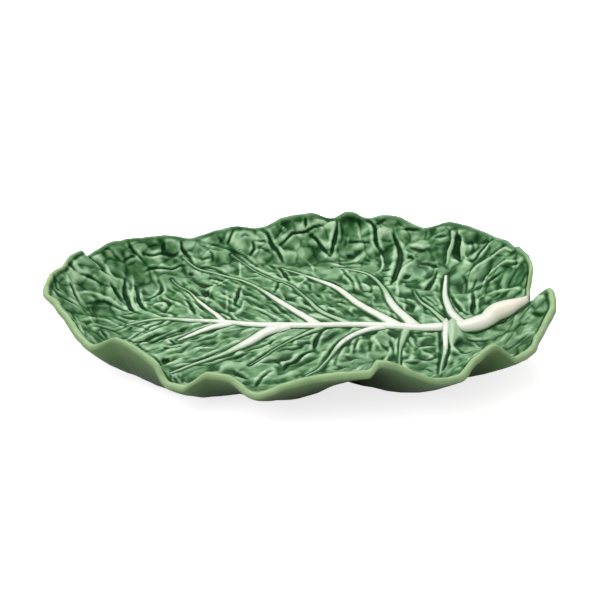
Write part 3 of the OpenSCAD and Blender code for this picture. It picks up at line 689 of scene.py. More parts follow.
# each row: depth, width, then x and y of each pixel of the crop
CUTS = {
    TIP_CROP: [
        # far left wall
        [1.6, 1.5, 310, 300, 345, 335, 388, 370],
        [1.2, 1.3, 205, 325, 225, 355, 245, 385],
        [1.4, 1.6, 262, 400, 330, 420, 375, 450, 385, 470],
        [1.5, 1.5, 215, 450, 240, 510, 270, 560],
        [1.7, 1.7, 432, 445, 475, 510, 530, 580],
        [1.1, 1.8, 300, 560, 380, 545, 440, 562, 520, 600],
        [1, 1.5, 160, 520, 230, 560, 262, 580],
        [0.8, 1.4, 130, 400, 150, 480, 200, 520],
        [1, 1.6, 228, 600, 260, 690, 325, 755],
        [0.9, 1.6, 480, 625, 560, 612, 620, 604],
        [0.9, 1.6, 300, 690, 360, 684, 430, 700, 500, 730],
        [0.9, 1.5, 520, 660, 600, 690, 690, 728]],
    LEFT_CROP: [
        # back wall towards the tip
        [0.8, 1, 10, 228, 60, 245, 95, 285, 150, 325],
        [1.8, 1.4, 180, 200, 200, 250, 240, 290, 285, 335],
        [1, 1.1, 150, 330, 175, 300, 215, 285, 250, 300],
        [1.5, 1.2, 255, 265, 330, 285, 395, 270, 470, 280, 500, 255],
        [1.5, 1.2, 400, 200, 398, 280],
        [2.4, 1.7, 507, 195, 515, 240, 560, 300, 585, 350],
        [1.6, 1.2, 600, 365, 680, 365, 740, 380, 800, 410],
        [1.4, 1.3, 265, 380, 330, 365, 430, 365, 500, 345, 560, 345],
        [1, 1, 590, 185, 700, 215, 820, 250, 900, 290, 960, 340, 1060, 395],
        [0.9, 1, 640, 225, 700, 245, 780, 255],
        [1.4, 1.2, 838, 125, 820, 170, 795, 215],
        [0.8, 1, 735, 155, 760, 190, 790, 230],
        [1, 1.1, 650, 235, 690, 260, 705, 290, 700, 320],
        [0.9, 1, 620, 300, 650, 310, 700, 285],
        [2.4, 2.2, 160, 420, 155, 500, 175, 570, 200, 630, 260, 655],
        [2.2, 1.8, 228, 480, 240, 540, 270, 610, 300, 640],
        [1.9, 1.6, 365, 440, 385, 470, 385, 510, 345, 545, 300, 560],
        [1.2, 2, 420, 560, 430, 600, 380, 632, 330, 632],
        [1.7, 2.2, 565, 405, 580, 395],
        [1.6, 2.4, 680, 432, 700, 430],
        [1.9, 1.4, 540, 555, 575, 610, 600, 665],
        [1.2, 1.1, 440, 460, 500, 510, 560, 560, 640, 620, 720, 690],
        [0.9, 1.3, 20, 560, 60, 590, 120, 620, 200, 640],
        [1.5, 1.8, 5, 455, 12, 470],
        [1.3, 2.2, 120, 660, 170, 675, 200, 680],
        # middle of the back wall
        [2.4, 1.7, 1010, 122, 1050, 150, 1080, 215, 1120, 260, 1150, 330],
        [1.5, 1.2, 955, 190, 965, 240, 940, 290],
        [1.3, 1.1, 960, 195, 1040, 195, 1060, 215],
        [2.3, 1.5, 1120, 230, 1160, 190, 1210, 145, 1290, 135, 1380, 95, 1440, 68],
        [1.5, 1.2, 1290, 45, 1290, 120],
        [2, 1.5, 1300, 140, 1360, 190, 1400, 240, 1440, 290],
        [1.8, 2.4, 1436, 280, 1446, 292],
        [2.3, 1.6, 1490, 70, 1475, 150, 1455, 240, 1445, 290],
        [0.9, 1, 980, 225, 1075, 250],
        [0.8, 1, 880, 180, 910, 155, 950, 170],
        [2.2, 1.6, 1120, 360, 1160, 400, 1190, 455],
        [1.2, 1.3, 1050, 340, 1100, 370],
        [0.9, 1.2, 1490, 320, 1560, 312],
        [1, 1.2, 1515, 365, 1560, 425],
        [1.5, 1.8, 935, 365, 985, 385, 1010, 410],
        [1.3, 1.4, 1120, 450, 1110, 490, 1090, 520],
        [1.3, 1.5, 1210, 540, 1280, 545, 1330, 560],
        # floor behind the midrib
        [2, 1.7, 880, 480, 860, 540, 850, 590, 870, 608],
        [0.8, 1, 820, 670, 860, 700, 900, 690],
        [1.1, 1, 950, 490, 1010, 520, 1100, 590, 1170, 650, 1230, 700],
        [0.8, 1, 960, 620, 1010, 640, 1060, 670, 1120, 695],
        [1.5, 1.2, 1230, 490, 1290, 540, 1350, 600, 1420, 640, 1500, 690],
        [1.7, 2.2, 1420, 625, 1470, 640],
        [1, 1.6, 1350, 520, 1400, 560],
        # front floor and wall
        [1.5, 2, 5, 752, 40, 790],
        [0.9, 1.1, 180, 735, 280, 720, 360, 700],
        [0.9, 1.1, 190, 762, 280, 770, 330, 755, 390, 740],
        [1.1, 1.3, 150, 800, 220, 830, 300, 812, 400, 800, 460, 802],
        [1.9, 1.6, 435, 815, 470, 838],
        [2, 2, 395, 865, 435, 868],
        [2.2, 2.2, 390, 925, 430, 948],
        [1.4, 1.6, 488, 855, 502, 856],
        [1, 1.2, 550, 832, 600, 824],
        [1, 1.2, 640, 862, 690, 850],
        [0.9, 1.1, 700, 868, 760, 872],
        [0.9, 1.2, 230, 830, 260, 870, 320, 900],
        [1.2, 1.5, 300, 905, 350, 930, 385, 960],
        [1.7, 1.3, 520, 962, 640, 932, 780, 872],
        [1.4, 1.2, 740, 962, 800, 935, 900, 905, 990, 885],
        [0.9, 1.1, 420, 990, 560, 978, 680, 968],
        [1, 1, 935, 985, 1000, 925, 1080, 878, 1160, 830, 1230, 800],
        [2.3, 1.7, 1425, 735, 1380, 775, 1350, 830, 1342, 890],
        [2.2, 1.6, 1155, 1000, 1180, 960, 1250, 920, 1320, 888, 1350, 875],
        [1.2, 1.2, 1090, 935, 1140, 980],
        [0.9, 1.3, 1000, 960, 1060, 955],
        [0.9, 1.2, 1200, 850, 1260, 840],
        [1.6, 1.5, 975, 1105, 1000, 1070, 1060, 1020, 1095, 1010],
        [1.5, 2.2, 830, 1000, 880, 1040, 930, 1062],
        [0.9, 0.9, 425, 1015, 450, 1070, 472, 1095],
        [0.9, 0.9, 450, 1015, 490, 1088],
        [0.9, 0.9, 485, 1022, 520, 1090],
        [0.8, 0.9, 512, 1035, 542, 1088],
        [1.2, 1.1, 1380, 965, 1440, 895, 1500, 825, 1555, 795],
        [1.4, 1.2, 1470, 985, 1482, 930, 1520, 858, 1560, 835]],
    RIGHT_CROP: [
        # floor behind the midrib
        [1.2, 1.3, 68, 439, 132, 505, 157, 563],
        [0.8, 1, 160, 470, 190, 540, 215, 560, 250, 560],
        [0.7, 0.9, 195, 500, 230, 520, 260, 550, 240, 585, 205, 580],
        [0.7, 0.8, 20, 395, 90, 400, 180, 395, 250, 400],
        [0.7, 0.8, 40, 425, 120, 420, 200, 425],
        [1.3, 1.8, 10, 560, 60, 580, 110, 600],
        [1.2, 1.6, 40, 620, 100, 650],
        [1, 1.4, 100, 690, 150, 720],
        [0.9, 1.1, 440, 620, 500, 640, 530, 690],
        [1, 1.1, 380, 690, 400, 755, 450, 768],
        [1.1, 1.1, 530, 575, 570, 620, 640, 672, 690, 730],
        [0.9, 1, 560, 590, 620, 630, 690, 690],
        [0.7, 0.9, 590, 640, 600, 700, 640, 730],
        [0.8, 1, 470, 600, 480, 640, 500, 660],
        # back wall towards the stalk
        [2.4, 1.9, 45, 120, 40, 200, 15, 300, 10, 350],
        [2.5, 2, 225, 112, 260, 150, 285, 190, 290, 260, 320, 320, 335, 345],
        [1.4, 1.1, 5, 125, 45, 100, 100, 85],
        [1.1, 1.2, 80, 285, 120, 255, 200, 262, 262, 270],
        [1.2, 1.3, 270, 165, 310, 140, 350, 120],
        [3.2, 3, 388, 205, 414, 255, 433, 307, 439, 376, 408, 479, 375, 543],
        [1.2, 1.2, 420, 188, 500, 182, 575, 172],
        [1.6, 2, 655, 235, 735, 218],
        [1.5, 2, 500, 300, 600, 310],
        [3.2, 3.2, 797, 190, 800, 260, 792, 340, 820, 385],
        [2, 2.2, 670, 440, 650, 500, 600, 560, 550, 572],
        [1.2, 2.4, 455, 480, 510, 470],
        [1.2, 1.3, 470, 370, 510, 348, 515, 370, 490, 398],
        [0.8, 0.9, 310, 440, 420, 440],
        [0.8, 0.9, 310, 472, 405, 480],
        [0.8, 0.9, 318, 502, 400, 512],
        [0.8, 0.9, 330, 533, 392, 543],
        [1.4, 2.2, 100, 330, 150, 345],
        [0.8, 1.2, 215, 370, 260, 385],
        [1.3, 2, 620, 400, 680, 420],
        [0.9, 1.2, 560, 390, 640, 400],
        # front floor and wall
        [1.5, 1.3, 150, 965, 160, 905, 185, 850],
        [1, 1.2, 60, 900, 40, 960, 12, 1015],
        [0.9, 1.1, 235, 860, 255, 900, 250, 960],
        [1.1, 1.1, 372, 862, 400, 950, 408, 1005],
        [1.2, 1.2, 435, 880, 440, 950, 436, 1010],
        [1.2, 1.3, 470, 850, 500, 900, 522, 932],
        [1, 1.1, 490, 790, 520, 850, 545, 880],
        [1.2, 1.1, 552, 985, 600, 1003, 650, 992, 672, 960],
        [0.9, 1, 560, 915, 620, 900, 672, 915],
        [0.8, 1, 560, 860, 620, 850, 660, 855],
        [1.2, 1, 702, 770, 690, 860, 690, 960, 678, 1080],
        [2.3, 1.7, 745, 770, 748, 860, 740, 920, 720, 1010, 697, 1082],
        [0.9, 1.1, 580, 1050, 620, 1070, 660, 1085],
        [0.8, 1, 440, 1015, 520, 1020, 580, 1005],
        [0.9, 1.2, 295, 890, 340, 910, 370, 960],
        [0.8, 1.1, 30, 1010, 90, 980, 130, 1000],
        # lobes beside the stalk
        [1.9, 1.5, 895, 570, 900, 640, 890, 690, 905, 722],
        [1.6, 1.5, 850, 372, 900, 380, 940, 330, 1000, 262, 1035, 235],
        [1.4, 1.4, 975, 522, 1020, 485, 1079, 448],
        [1, 1.2, 1110, 295, 1190, 285],
        [1, 1.3, 1130, 400, 1195, 395],
        [1.9, 1.4, 755, 590, 790, 650, 830, 700, 900, 725],
        [2, 1.3, 700, 490, 708, 560, 735, 650, 778, 728],
        [2, 1.3, 1240, 622, 1180, 690, 1110, 750, 1030, 805],
        [1, 1.6, 840, 862, 900, 880, 1000, 872],
        [1, 1.6, 790, 925, 840, 962, 895, 950],
        [0.9, 1.2, 740, 1080, 800, 1052, 880, 1005, 950, 955],
        [1.8, 2.4, 1170, 950, 1165, 985],
        [1.1, 1.8, 1250, 705, 1340, 720],
        [0.9, 1.4, 1180, 780, 1260, 775],
        [0.9, 1.3, 1300, 590, 1380, 600],
        [0.9, 1.2, 830, 470, 860, 520, 850, 580],
        [0.9, 1.2, 920, 490, 900, 540, 870, 560],
        [0.8, 1.2, 880, 250, 900, 300, 880, 350]]}
RIDGES = {
    TIP_CROP: [
        # far left wall
        [1.2, 2.4, 250, 505, 320, 500, 385, 522, 450, 555, 520, 588],
        [1, 2.4, 222, 300, 262, 375, 300, 400],
        [1.1, 2.2, 350, 300, 400, 350, 430, 400, 470, 440],
        [0.9, 2.2, 240, 640, 330, 640, 420, 655, 520, 700]],
    LEFT_CROP: [
        # behind the midrib
        [1.2, 1.4, 1115, 90, 1150, 115, 1180, 138],
        [1, 1.2, 855, 292, 878, 340, 882, 430],
        [1.4, 1.6, 200, 400, 210, 470, 200, 520, 205, 600, 240, 640],
        [1, 1.3, 262, 480, 256, 560, 292, 620],
        [1.4, 2.4, 320, 605, 390, 585, 440, 605],
        [0.9, 1.2, 830, 420, 740, 470, 640, 520],
        [0.9, 1.2, 790, 500, 800, 560, 790, 650],
        [0.9, 1.2, 880, 370, 905, 350, 960, 350, 1020, 392],
        [0.8, 1.1, 900, 440, 960, 430, 1030, 435],
        [1, 1.3, 950, 582, 1030, 642, 1130, 690],
        [0.9, 1, 1210, 410, 1290, 430, 1275, 452, 1235, 488, 1300, 500],
        [0.9, 1.2, 1290, 300, 1330, 345, 1340, 400],
        [1, 1.2, 1430, 330, 1500, 350, 1560, 368],
        [0.8, 1.1, 820, 640, 860, 690, 930, 690],
        [0.8, 1.2, 910, 560, 890, 620, 870, 660],
        [0.9, 1.3, 740, 440, 690, 520, 660, 600],
        # front
        [0.9, 1.2, 350, 890, 440, 880, 500, 850],
        [0.8, 1.1, 140, 720, 200, 700, 300, 690, 420, 676],
        [0.9, 1.2, 380, 960, 440, 965, 520, 950]],
    RIGHT_CROP: [
        # back wall
        [1, 1.2, 180, 205, 190, 240],
        [1, 1.1, 182, 365, 160, 395],
        [1, 1.3, 118, 232, 108, 265],
        [1.5, 1.5, 300, 275, 320, 330, 332, 390, 320, 440, 290, 462],
        [1.5, 1.7, 520, 345, 500, 400, 440, 460, 420, 540, 432, 600],
        [1.8, 2, 768, 190, 768, 260, 745, 330, 735, 400],
        [1.2, 1.8, 832, 230, 835, 330, 855, 370],
        [0.8, 0.9, 312, 456, 415, 460],
        [0.8, 0.9, 314, 487, 400, 496],
        [0.8, 0.9, 324, 518, 395, 528],
        [1, 1, 535, 650, 560, 690],
        [0.9, 1.1, 660, 600, 690, 650, 700, 690],
        # front
        [1, 1.1, 548, 965, 560, 930, 620, 915, 680, 932],
        [0.9, 1.2, 260, 862, 300, 902, 330, 950],
        [1.2, 1.2, 415, 1010, 420, 930, 432, 850, 468, 790],
        [1.1, 1.1, 455, 1005, 458, 950, 462, 870, 482, 805],
        [0.9, 1.4, 892, 890, 930, 922, 952, 910],
        # lobes beside the stalk
        [1.6, 1.5, 870, 482, 920, 422, 1000, 370, 1110, 302, 1195, 255],
        [1.3, 1.5, 950, 560, 990, 472, 1080, 402, 1190, 372],
        [1.3, 2, 978, 592, 1060, 572, 1150, 556, 1225, 568],
        [1.2, 1.4, 928, 700, 932, 622, 980, 592],
        [0.9, 1.3, 850, 470, 880, 455, 920, 440],
        [1, 1.4, 1010, 240, 985, 300, 940, 350]]}
print("cuts:", sum(map(len, CUTS.values())), "ridges:", sum(map(len, RIDGES.values())))

# %% How deep each point is cut
# deeper strokes are softly held to this depth
DEEPEST = 1.7*mm
# how finely a stroke's route is cut
STROKE_STEP = 1.5*mm
# a stroke's section: its half width as a share, the least it may be, and how far out it still acts
CORE_SHARE, LEAST_CORE, ACTS_TO = 0.8, 1.1*mm, 5
# its depth at its ends as a share, and the power of its swell in between
END_SHARE, END_POWER = 0.10, 0.8
# the low bank beside a cut, in half widths: how far out and how broad
BANK_AT, BANK_WIDE = 2.4, 1.1

# the picked places are taken to half a pixel of the photograph
PIXEL_STEP = 0.5
FAR_OFF = 1.0

def nearness(targets, line):
    """distance of each target to a line of points, and the share along it"""
    best = np.full(len(targets), FAR_OFF)
    share = np.zeros(len(targets))
    for i, (p, q) in enumerate(zip(line, line[1:])):
        way = q - p
        t = np.clip((targets - p) @ way/max(way @ way, TINY), 0, 1)
        gap = np.linalg.norm(targets - p - t[:, None]*way, axis=1)
        closer = gap < best
        best = np.where(closer, gap, best)
        share = np.where(closer, (i + t)/(len(line) - 1), share)
    return best, share

def carve(targets, strokes):
    """the greatest depth that any stroke gives each target, and the greatest bank"""
    depth = np.zeros(len(targets))
    bank = np.zeros(len(targets))
    for deep, wide, plan in strokes:
        line = lay(smooth_route(plan, STROKE_STEP))[0]
        low, high = line.min(0) - ACTS_TO*wide*mm, line.max(0) + ACTS_TO*wide*mm
        near = np.where(np.all((targets > low) & (targets < high), axis=1))[0]
        gap, share = nearness(targets[near], line)
        ends = END_SHARE + (1 - END_SHARE)*np.sin(np.pi*np.clip(share, 0, 1))**END_POWER
        across = gap/np.maximum(CORE_SHARE*wide*mm*ends, LEAST_CORE)
        depth[near] = np.maximum(depth[near], deep*mm*ends*np.exp(-across**2))
        bank[near] = np.maximum(bank[near], deep*mm*ends*np.exp(-((across - BANK_AT)/BANK_WIDE)**2))
    return depth, bank

def on_leaf(crops):
    """every stroke of a table with its crop pixels turned into plan points"""
    strokes = []
    for (left, upper, enlarged), rows in crops.items():
        for deep, wide, *route in rows:
            pixels = np.array([left, upper]) + np.reshape(route, (-1, 2))/enlarged
            strokes.append((deep, wide, seen_at(np.round(pixels/PIXEL_STEP)*PIXEL_STEP)))
    return strokes

deep, bank = carve(top, on_leaf(CUTS))
deep = DEEPEST*np.tanh(deep/DEEPEST)
raised, _ = carve(top, on_leaf(RIDGES))
# beside the stalk one fold of leaf climbs over the midrib and carries a rib: its height and
# width in millimetres, like a stroke's, and its route in the frame
FOLD_HIGH, FOLD_WIDE = 7.0, 8.5
FOLD_ROUTE = np.array([(127, 4), (125.3, -10), (123.3, -26), (119.5, -46)])*mm
fold, _ = carve(top, [(FOLD_HIGH, FOLD_WIDE, FOLD_ROUTE)])
print("deepest cut in mm:", round(deep.max()/mm, 2), "highest ridge:", round(raised.max()/mm, 2))

# %% How far each point is from a rib and from the rim
rib_gap = np.full(len(top), FAR_OFF)
for places, _, half, _ in laid.values():
    gap, share = nearness(top, places)
    width = np.interp(share, np.linspace(0, 1, len(half)), half)
    rib_gap = np.minimum(rib_gap, gap - width)
rim_gap = (1 - reach)*np.hypot(*egg(turn))
print("points under a rib:", int((rib_gap < 0).sum()))

# %% [markdown]
# ## The direction of the veins
# Between two side ribs the crinkles run with the ribs: out from the midrib
# and back towards the tip, and near the stalk they fan the other way. Two
# numbers say that for every point: where a line through it, drawn parallel
# to the ribs, would meet the midrib, and how far out along that line it is.

# %% Flow of the crinkles
# behind the midrib, then in front of it: how far the veins lean towards the tip for each step out,
# and how far out the ones near the stalk have turned back
LEAN_BACK, TURN_BACK = (0.75, 1.0), (110*mm, 80*mm)
# from here to the stalk the veins fan the other way
FAN_FROM = 20*mm
# how much of the wall's height counts as way out
WALL_COUNTS = 0.9

mid_plan = laid["midrib"][0][::-1]
x, y, z = top.T
away = y - np.interp(x, mid_plan[:, 0], mid_plan[:, 1])
out = np.abs(away)
lean_back = np.where(away > 0, *LEAN_BACK)
turn_back = np.where(away > 0, *TURN_BACK)
straight = x + lean_back*out
fanned = (x + lean_back*out*(1 + FAN_FROM/turn_back))/(1 + lean_back*out/turn_back)
across = np.where(straight < FAN_FROM, straight, fanned)
out = out + (z - FLOOR)*WALL_COUNTS
print("crinkles start between", round(across.min()/mm), "and", round(across.max()/mm), "mm along the midrib")

# %% [markdown]
# ## The crinkled leaf
# A savoy leaf is covered with blisters between a net of veins. On the floor
# of the dish the veins stand up, in a net of long cells that follows the flow
# of the veins. On the wall rounder blisters swell and the lines between them
# are sunk. Geometry Nodes grow both, add the listed cuts and ridges, and
# store the relief and how hollow each point is, which the glaze will read.

# %% Sizes of the crinkle
# waves of noise to a metre: what sways the net, where fine veins show, swells, wrinkles, edges
SWAY_WAVES, PATCH_WAVES = 38.0, 34.0
LONG_SWELLS, ROUND_SWELLS, WALL_SWELLS = 70.0, 66.0, 42.0
LONG_WRINKLES, WALL_WRINKLES = 105.0, 120.0
UNEVEN_WAVES, FRILL_WAVES = 28.0, 85.0
# along the flow, swells and wrinkles have only this share of their waves
LONG_SHARE = 0.46
# the small cells' width and length as shares of the big ones', and the panels to a cell's width
SMALL_CELL, PANELS = (0.55, 0.42), 0.50
# how far these reach from a line of their net, on a scale where 0.5 is about a cell's middle
VEIN_TO, SINK_TO, PANEL_TO, SEAM_TO, FINE_TO = 0.26, 0.5, 0.45, 0.08, 0.28
# fine veins fade in between these values of their patches
PATCH_FROM, PATCH_FULL = 0.42, 0.58
# on the floor the swells are partly long and partly round
LONG_PART, ROUND_PART = 0.6, 0.4
# shares of the vein's and the blister's height on the floor, on the wall and in the fine net
VEIN_SHARE, SINK_SHARE, PANEL_SHARE, SEAM_SHARE, FINE_SHARE = 0.7, 0.45, 0.5, 0.4, 0.25
# swells in blister heights, what the wall adds to that, and wrinkles in wrinkle heights
SWELL_GAIN, WALL_GAIN, WRINKLE_GAIN = 3.4, 0.4, 2.2
CELL_WIDTH, CELL_LENGTH, BLUR_ROUNDS = 10*mm, 26*mm, 16
print("cells side by side along the midrib:", round(LEAF_LEN/CELL_WIDTH))

# %% The crinkle tree
start, given = new_tree("crinkle a leaf", [
    ("Cell width", "NodeSocketFloat", CELL_WIDTH), ("Cell length", "NodeSocketFloat", CELL_LENGTH),
    ("Vein height", "NodeSocketFloat", 0.9*mm), ("Blister height", "NodeSocketFloat", 1.6*mm),
    ("Wrinkle height", "NodeSocketFloat", 0.38*mm), ("Sway", "NodeSocketFloat", 12*mm),
    ("Unevenness", "NodeSocketFloat", 0.5*mm), ("Frill", "NodeSocketFloat", 1.8*mm),
    ("Seed", "NodeSocketFloat", 7.0), ("Finish", "NodeSocketMaterial", None)])
seed, vein, blister = given["Seed"], given["Vein height"], given["Blister height"]
wall, place = attribute(start, "wall"), start.node("GeometryNodeInputPosition")
flow = start.node("ShaderNodeCombineXYZ", {}, {
    0: attribute(start, "across"), 1: attribute(start, "out"), 2: seed*0.1})
sway = start.shake(place, SWAY_WAVES, 2.0, seed, given["Sway"])
flow = start.vector("ADD", flow, sway)
free_place = start.vector("ADD", place, sway)
long_flow = start.vector("MULTIPLY", flow, (1.0, LONG_SHARE, 1.0))

def cells(vector, scale):
    """0 on the lines of a net, growing to the middle of each cell"""
    return start.node("ShaderNodeTexVoronoi", {"feature": "DISTANCE_TO_EDGE"},
                      {"Vector": vector, "Scale": scale, "Randomness": 0.9})

def flow_net(width, length, shift):
    """a net whose cells are so wide and so long along the flow"""
    return cells(start.node("ShaderNodeCombineXYZ", {}, {
        0: start.axis(flow, 0)/width, 1: start.axis(flow, 1)/length, 2: shift}), 1.0)

big = flow_net(given["Cell width"], given["Cell length"], seed)
small = flow_net(given["Cell width"]*SMALL_CELL[0], given["Cell length"]*SMALL_CELL[1], seed + 5.0)
panel = cells(free_place, PANELS/given["Cell width"])
floor_relief = (1.0 - big.step(0.0, VEIN_TO))*vein*VEIN_SHARE - big.step(0.0, SINK_TO)*blister*SINK_SHARE
seam = (1.0 - panel.step(0.0, SEAM_TO))*vein*SEAM_SHARE
wall_relief = panel.step(0.0, PANEL_TO)*blister*PANEL_SHARE - seam
patch = start.noise(place, PATCH_WAVES, 1.0, 0, seed + 3.0).step(PATCH_FROM, PATCH_FULL)
fine_relief = (1.0 - small.step(0.0, FINE_TO))*vein*patch*(1.0 - wall)*FINE_SHARE
relief = floor_relief*(1.0 - wall) + wall_relief*wall + fine_relief
swells = start.noise(long_flow, LONG_SWELLS, 1.0, 0, seed + 5.0)*(1.0 - wall)*LONG_PART
swells = swells + start.noise(free_place, ROUND_SWELLS, 1.0, 0, seed + 4.0)*(1.0 - wall)*ROUND_PART
swells = swells + start.noise(free_place, WALL_SWELLS, 1.5, 0, seed + 6.0)*wall
relief = relief + (swells - 0.5)*blister*(SWELL_GAIN + wall*WALL_GAIN)
wrinkle = start.noise(long_flow, LONG_WRINKLES, 1.5, 0, seed + 8.0)*(1.0 - wall)
wrinkle = wrinkle + start.noise(free_place, WALL_WRINKLES, 1.5, 0, seed + 9.0)*wall
relief = relief + (wrinkle - 0.5)*given["Wrinkle height"]*WRINKLE_GAIN
relief = relief*(1.0 - attribute(start, "calm")) + attribute(start, "cut")

soft = start.node("GeometryNodeBlurAttribute", {"data_type": "FLOAT"},
                  {0: relief, "Iterations": BLUR_ROUNDS, "Weight": 1.0})
shape = store(start, given["Geometry"], "relief", relief/mm)
shape = store(start, shape, "hollow", (soft - relief)/mm)
wave = start.shake(place, UNEVEN_WAVES, 1.0, seed + 20.0, given["Unevenness"])
frill = start.shake(place, FRILL_WAVES, 2.0, seed + 30.0, attribute(start, "frill")*given["Frill"])
lift = start.stretch(start.node("GeometryNodeInputNormal"), relief)
lift = start.vector("ADD", lift, start.vector("ADD", wave, frill))
shape = start.node("GeometryNodeSetPosition", {}, {"Geometry": shape, "Offset": lift})
leaf_tree = close_tree(start, shape, given["Finish"])
print("crinkle tree nodes:", len(leaf_tree.nodes))

# %% [markdown]
# ## The leaf glaze
# One glossy green covers the leaf. Its shade follows the hollows and ridges
# that the crinkle tree stored: nearly black where it pools, mint on the
# crests. The rounded lip and the outside carry a smoother olive green, with a
# painted highlight along the front lip's crest and painted shade darkening
# the outside towards the foot.

# %% The leaf glaze
# how much each reading thickens the glaze, and its depth on plain leaf
BY_HOLLOW, BY_RELIEF, BY_POOL, BY_CLOUD, BY_SPECK = 0.60, 0.14, 0.20, 0.45, 0.18
EVEN_DEPTH = 0.50
# on the outside: where the olive starts, where it is full and painted shade starts to darken it, and where
# that shade is full
OLIVE_FROM, DARK_FROM, DARK_FULL = 0.06, 0.34, 0.8
# clouds of olive lie over the rim from this value of the cloud noise, at this strength
CLOUD_FROM, CLOUD_SHARE = 0.3, 0.35
# waves of noise to a metre, and how deep and strong the dents are
CLOUDS, SPECKS, DENTS, DENT_DEPTH, DENT_STRENGTH = 60.0, 330.0, 170.0, 0.5*mm, 0.22
# the coat's weight, and what it loses where the glaze pools
SHEEN, SHEEN_LOSS, POOL_FROM, POOL_FULL = 0.26, 0.25, 0.30, 0.75
ROUGH, ROUGH_SPECK = 0.24, 0.20

leaf_finish, start, shader = new_material("pooled green glaze", Coat_Roughness=0.10, IOR=1.18)
place = skin_place(start)
hollow, relief, pool, lip, outside = (read(start, n) for n in ("hollow", "relief", "pool", "lip", "outside"))
cloud = start.noise(place, CLOUDS, 4.0)
speck = start.noise(place, SPECKS, 3.0)
depth = hollow*BY_HOLLOW - relief*BY_RELIEF + pool*BY_POOL
depth = depth + (cloud - 0.5)*BY_CLOUD + (speck - 0.5)*BY_SPECK + EVEN_DEPTH
green = start.node("ShaderNodeValToRGB", {"stops": [
    (0.0, THIN), (0.22, RIDGE), (0.46, LEAF), (0.68, DEEP), (0.95, POOLED)]}, {0: depth})
# a painted highlight along the front lip's crest; at the back the crest stays ridge green
edge = start.blend(read(start, "front"), RIDGE, LIP_HIGHLIGHT)
olive = start.blend(outside.step(OLIVE_FROM, DARK_FROM), edge, OUTSIDE)
# painted shade darkens the outside towards the foot
olive = start.blend(outside.step(DARK_FROM, DARK_FULL), olive, UNDER_SHADE)
olive = start.blend((cloud - CLOUD_FROM)*CLOUD_SHARE, olive, OUTSIDE)
skin = start.blend(lip, green, olive)
bump = start.bump(start.noise(place, DENTS), DENT_DEPTH, DENT_STRENGTH)
sheen = SHEEN - (depth*(1.0 - lip)).step(POOL_FROM, POOL_FULL, 0.0, SHEEN_LOSS)
feed(start, shader, Base_Color=skin, Normal=bump, Roughness=ROUGH + speck*ROUGH_SPECK, Coat_Weight=sheen)
print("leaf glaze nodes:", len(leaf_finish.node_tree.nodes))

# %% Grow the crinkled leaf
# a dark line runs beside the ribs and inside the lip: how far off, how wide and how deep
LINE_OFF_RIB, LINE_OFF_LIP, LINE_WIDE, LINE_DEEP = 1.3*mm, 2.2*mm, 1.0*mm, 0.6*mm
# the bead along the rim: from where to where it fades, and its height
BEAD_FULL, BEAD_GONE, BEAD_HIGH = 0.3*mm, 1.3*mm, 0.3*mm
# cuts start this far beside a rib, and a bank has this share of its cut's depth
RIB_CLEAR, BANK_SHARE = 2.5*mm, 0.25
# the front's lip, with its painted highlight, fades out over this stretch behind the midrib
FRONT_GONE, FRONT_FULL = 70*mm, 25*mm
# reaches between which the floor's crinkle turns into the wall's
WALL_FROM, WALL_FULL = 0.62, 0.86
# how far inside the rim the crinkle is calmed, fully and then no more, and how far the frill runs in
CALM_FULL, CALM_GONE, FRILL_RUN = 0.6*mm, 3.5*mm, 14*mm
# how far outside a point is, from 0 on the rim to 1 at the foot: what the lip takes of it, and how
# many steps the underside's first ring is further on
LIP_SHARE, SKIPPED = 0.3, 3
# the lip's rings between which the back's dark rim turns olive
OLIVE_RING, OLIVE_DONE = 1.5, 3.5

extra = len(points) - len(top)
lip_points = LIP_STEPS*around

def dark_line(gap):
    return np.exp(-(gap/LINE_WIDE)**2)*LINE_DEEP

front = soft_step(-points[:, 1], -FRONT_GONE, -FRONT_FULL)
front_top, front_edge = front[:len(top)], front[border]
bead = 1 - soft_step(rim_gap, BEAD_FULL, BEAD_GONE)
free = (1 - bead)*soft_step(rib_gap, 0, RIB_CLEAR)
cut = free*(raised - deep + BANK_SHARE*bank) - dark_line(rib_gap - LINE_OFF_RIB)*(1 - bead)
cut = cut - dark_line(rim_gap - LINE_OFF_LIP)*front_top + BEAD_HIGH*bead + fold
wall_share = soft_step(reach, WALL_FROM, WALL_FULL)
lip_share = np.linspace(0, LIP_SHARE, LIP_STEPS + 1)[1:]
under_share = np.linspace(LIP_SHARE, 1, len(UNDER_REACH) + SKIPPED)[SKIPPED:]
ring_share = np.repeat(np.concatenate([lip_share, under_share]), around)
leaf = bpy.data.meshes.new("leaf net")
leaf.from_pydata(points.tolist(), [], faces.tolist() + fan)
calm = 1 - free*soft_step(rim_gap, CALM_FULL, CALM_GONE)
lip_cut = np.repeat(np.linspace(BEAD_HIGH, 0, LIP_STEPS + 1)[1:], around)
rest_cut = np.concatenate([lip_cut, np.zeros(extra - lip_points)])
olive = [soft_step(k, OLIVE_RING, OLIVE_DONE) for k in range(1, LIP_STEPS + 1)]
olive_rings = [front_edge + (1 - front_edge)*share for share in olive]
rest_lip = np.concatenate(olive_rings + [np.ones(extra - lip_points)])
frill = np.exp(-(rim_gap/FRILL_RUN)**2)
give(leaf, "front", front)
for name, values, rest in (
        ("across", across, 0.0), ("out", out, 0.0), ("wall", wall_share, 0.0), ("calm", calm, 1.0),
        ("cut", cut, rest_cut), ("pool", pool_share, 0.0), ("lip", bead*front_top, rest_lip),
        ("frill", frill, np.append(1 - ring_share, 0.0)), ("outside", 0*bead, np.append(ring_share, 1.0))):
    give(leaf, name, np.append(values, rest if np.ndim(rest) else np.full(extra, rest)))
leaf = grow(leaf, "crinkled_leaf", leaf_tree, {"Finish": leaf_finish})

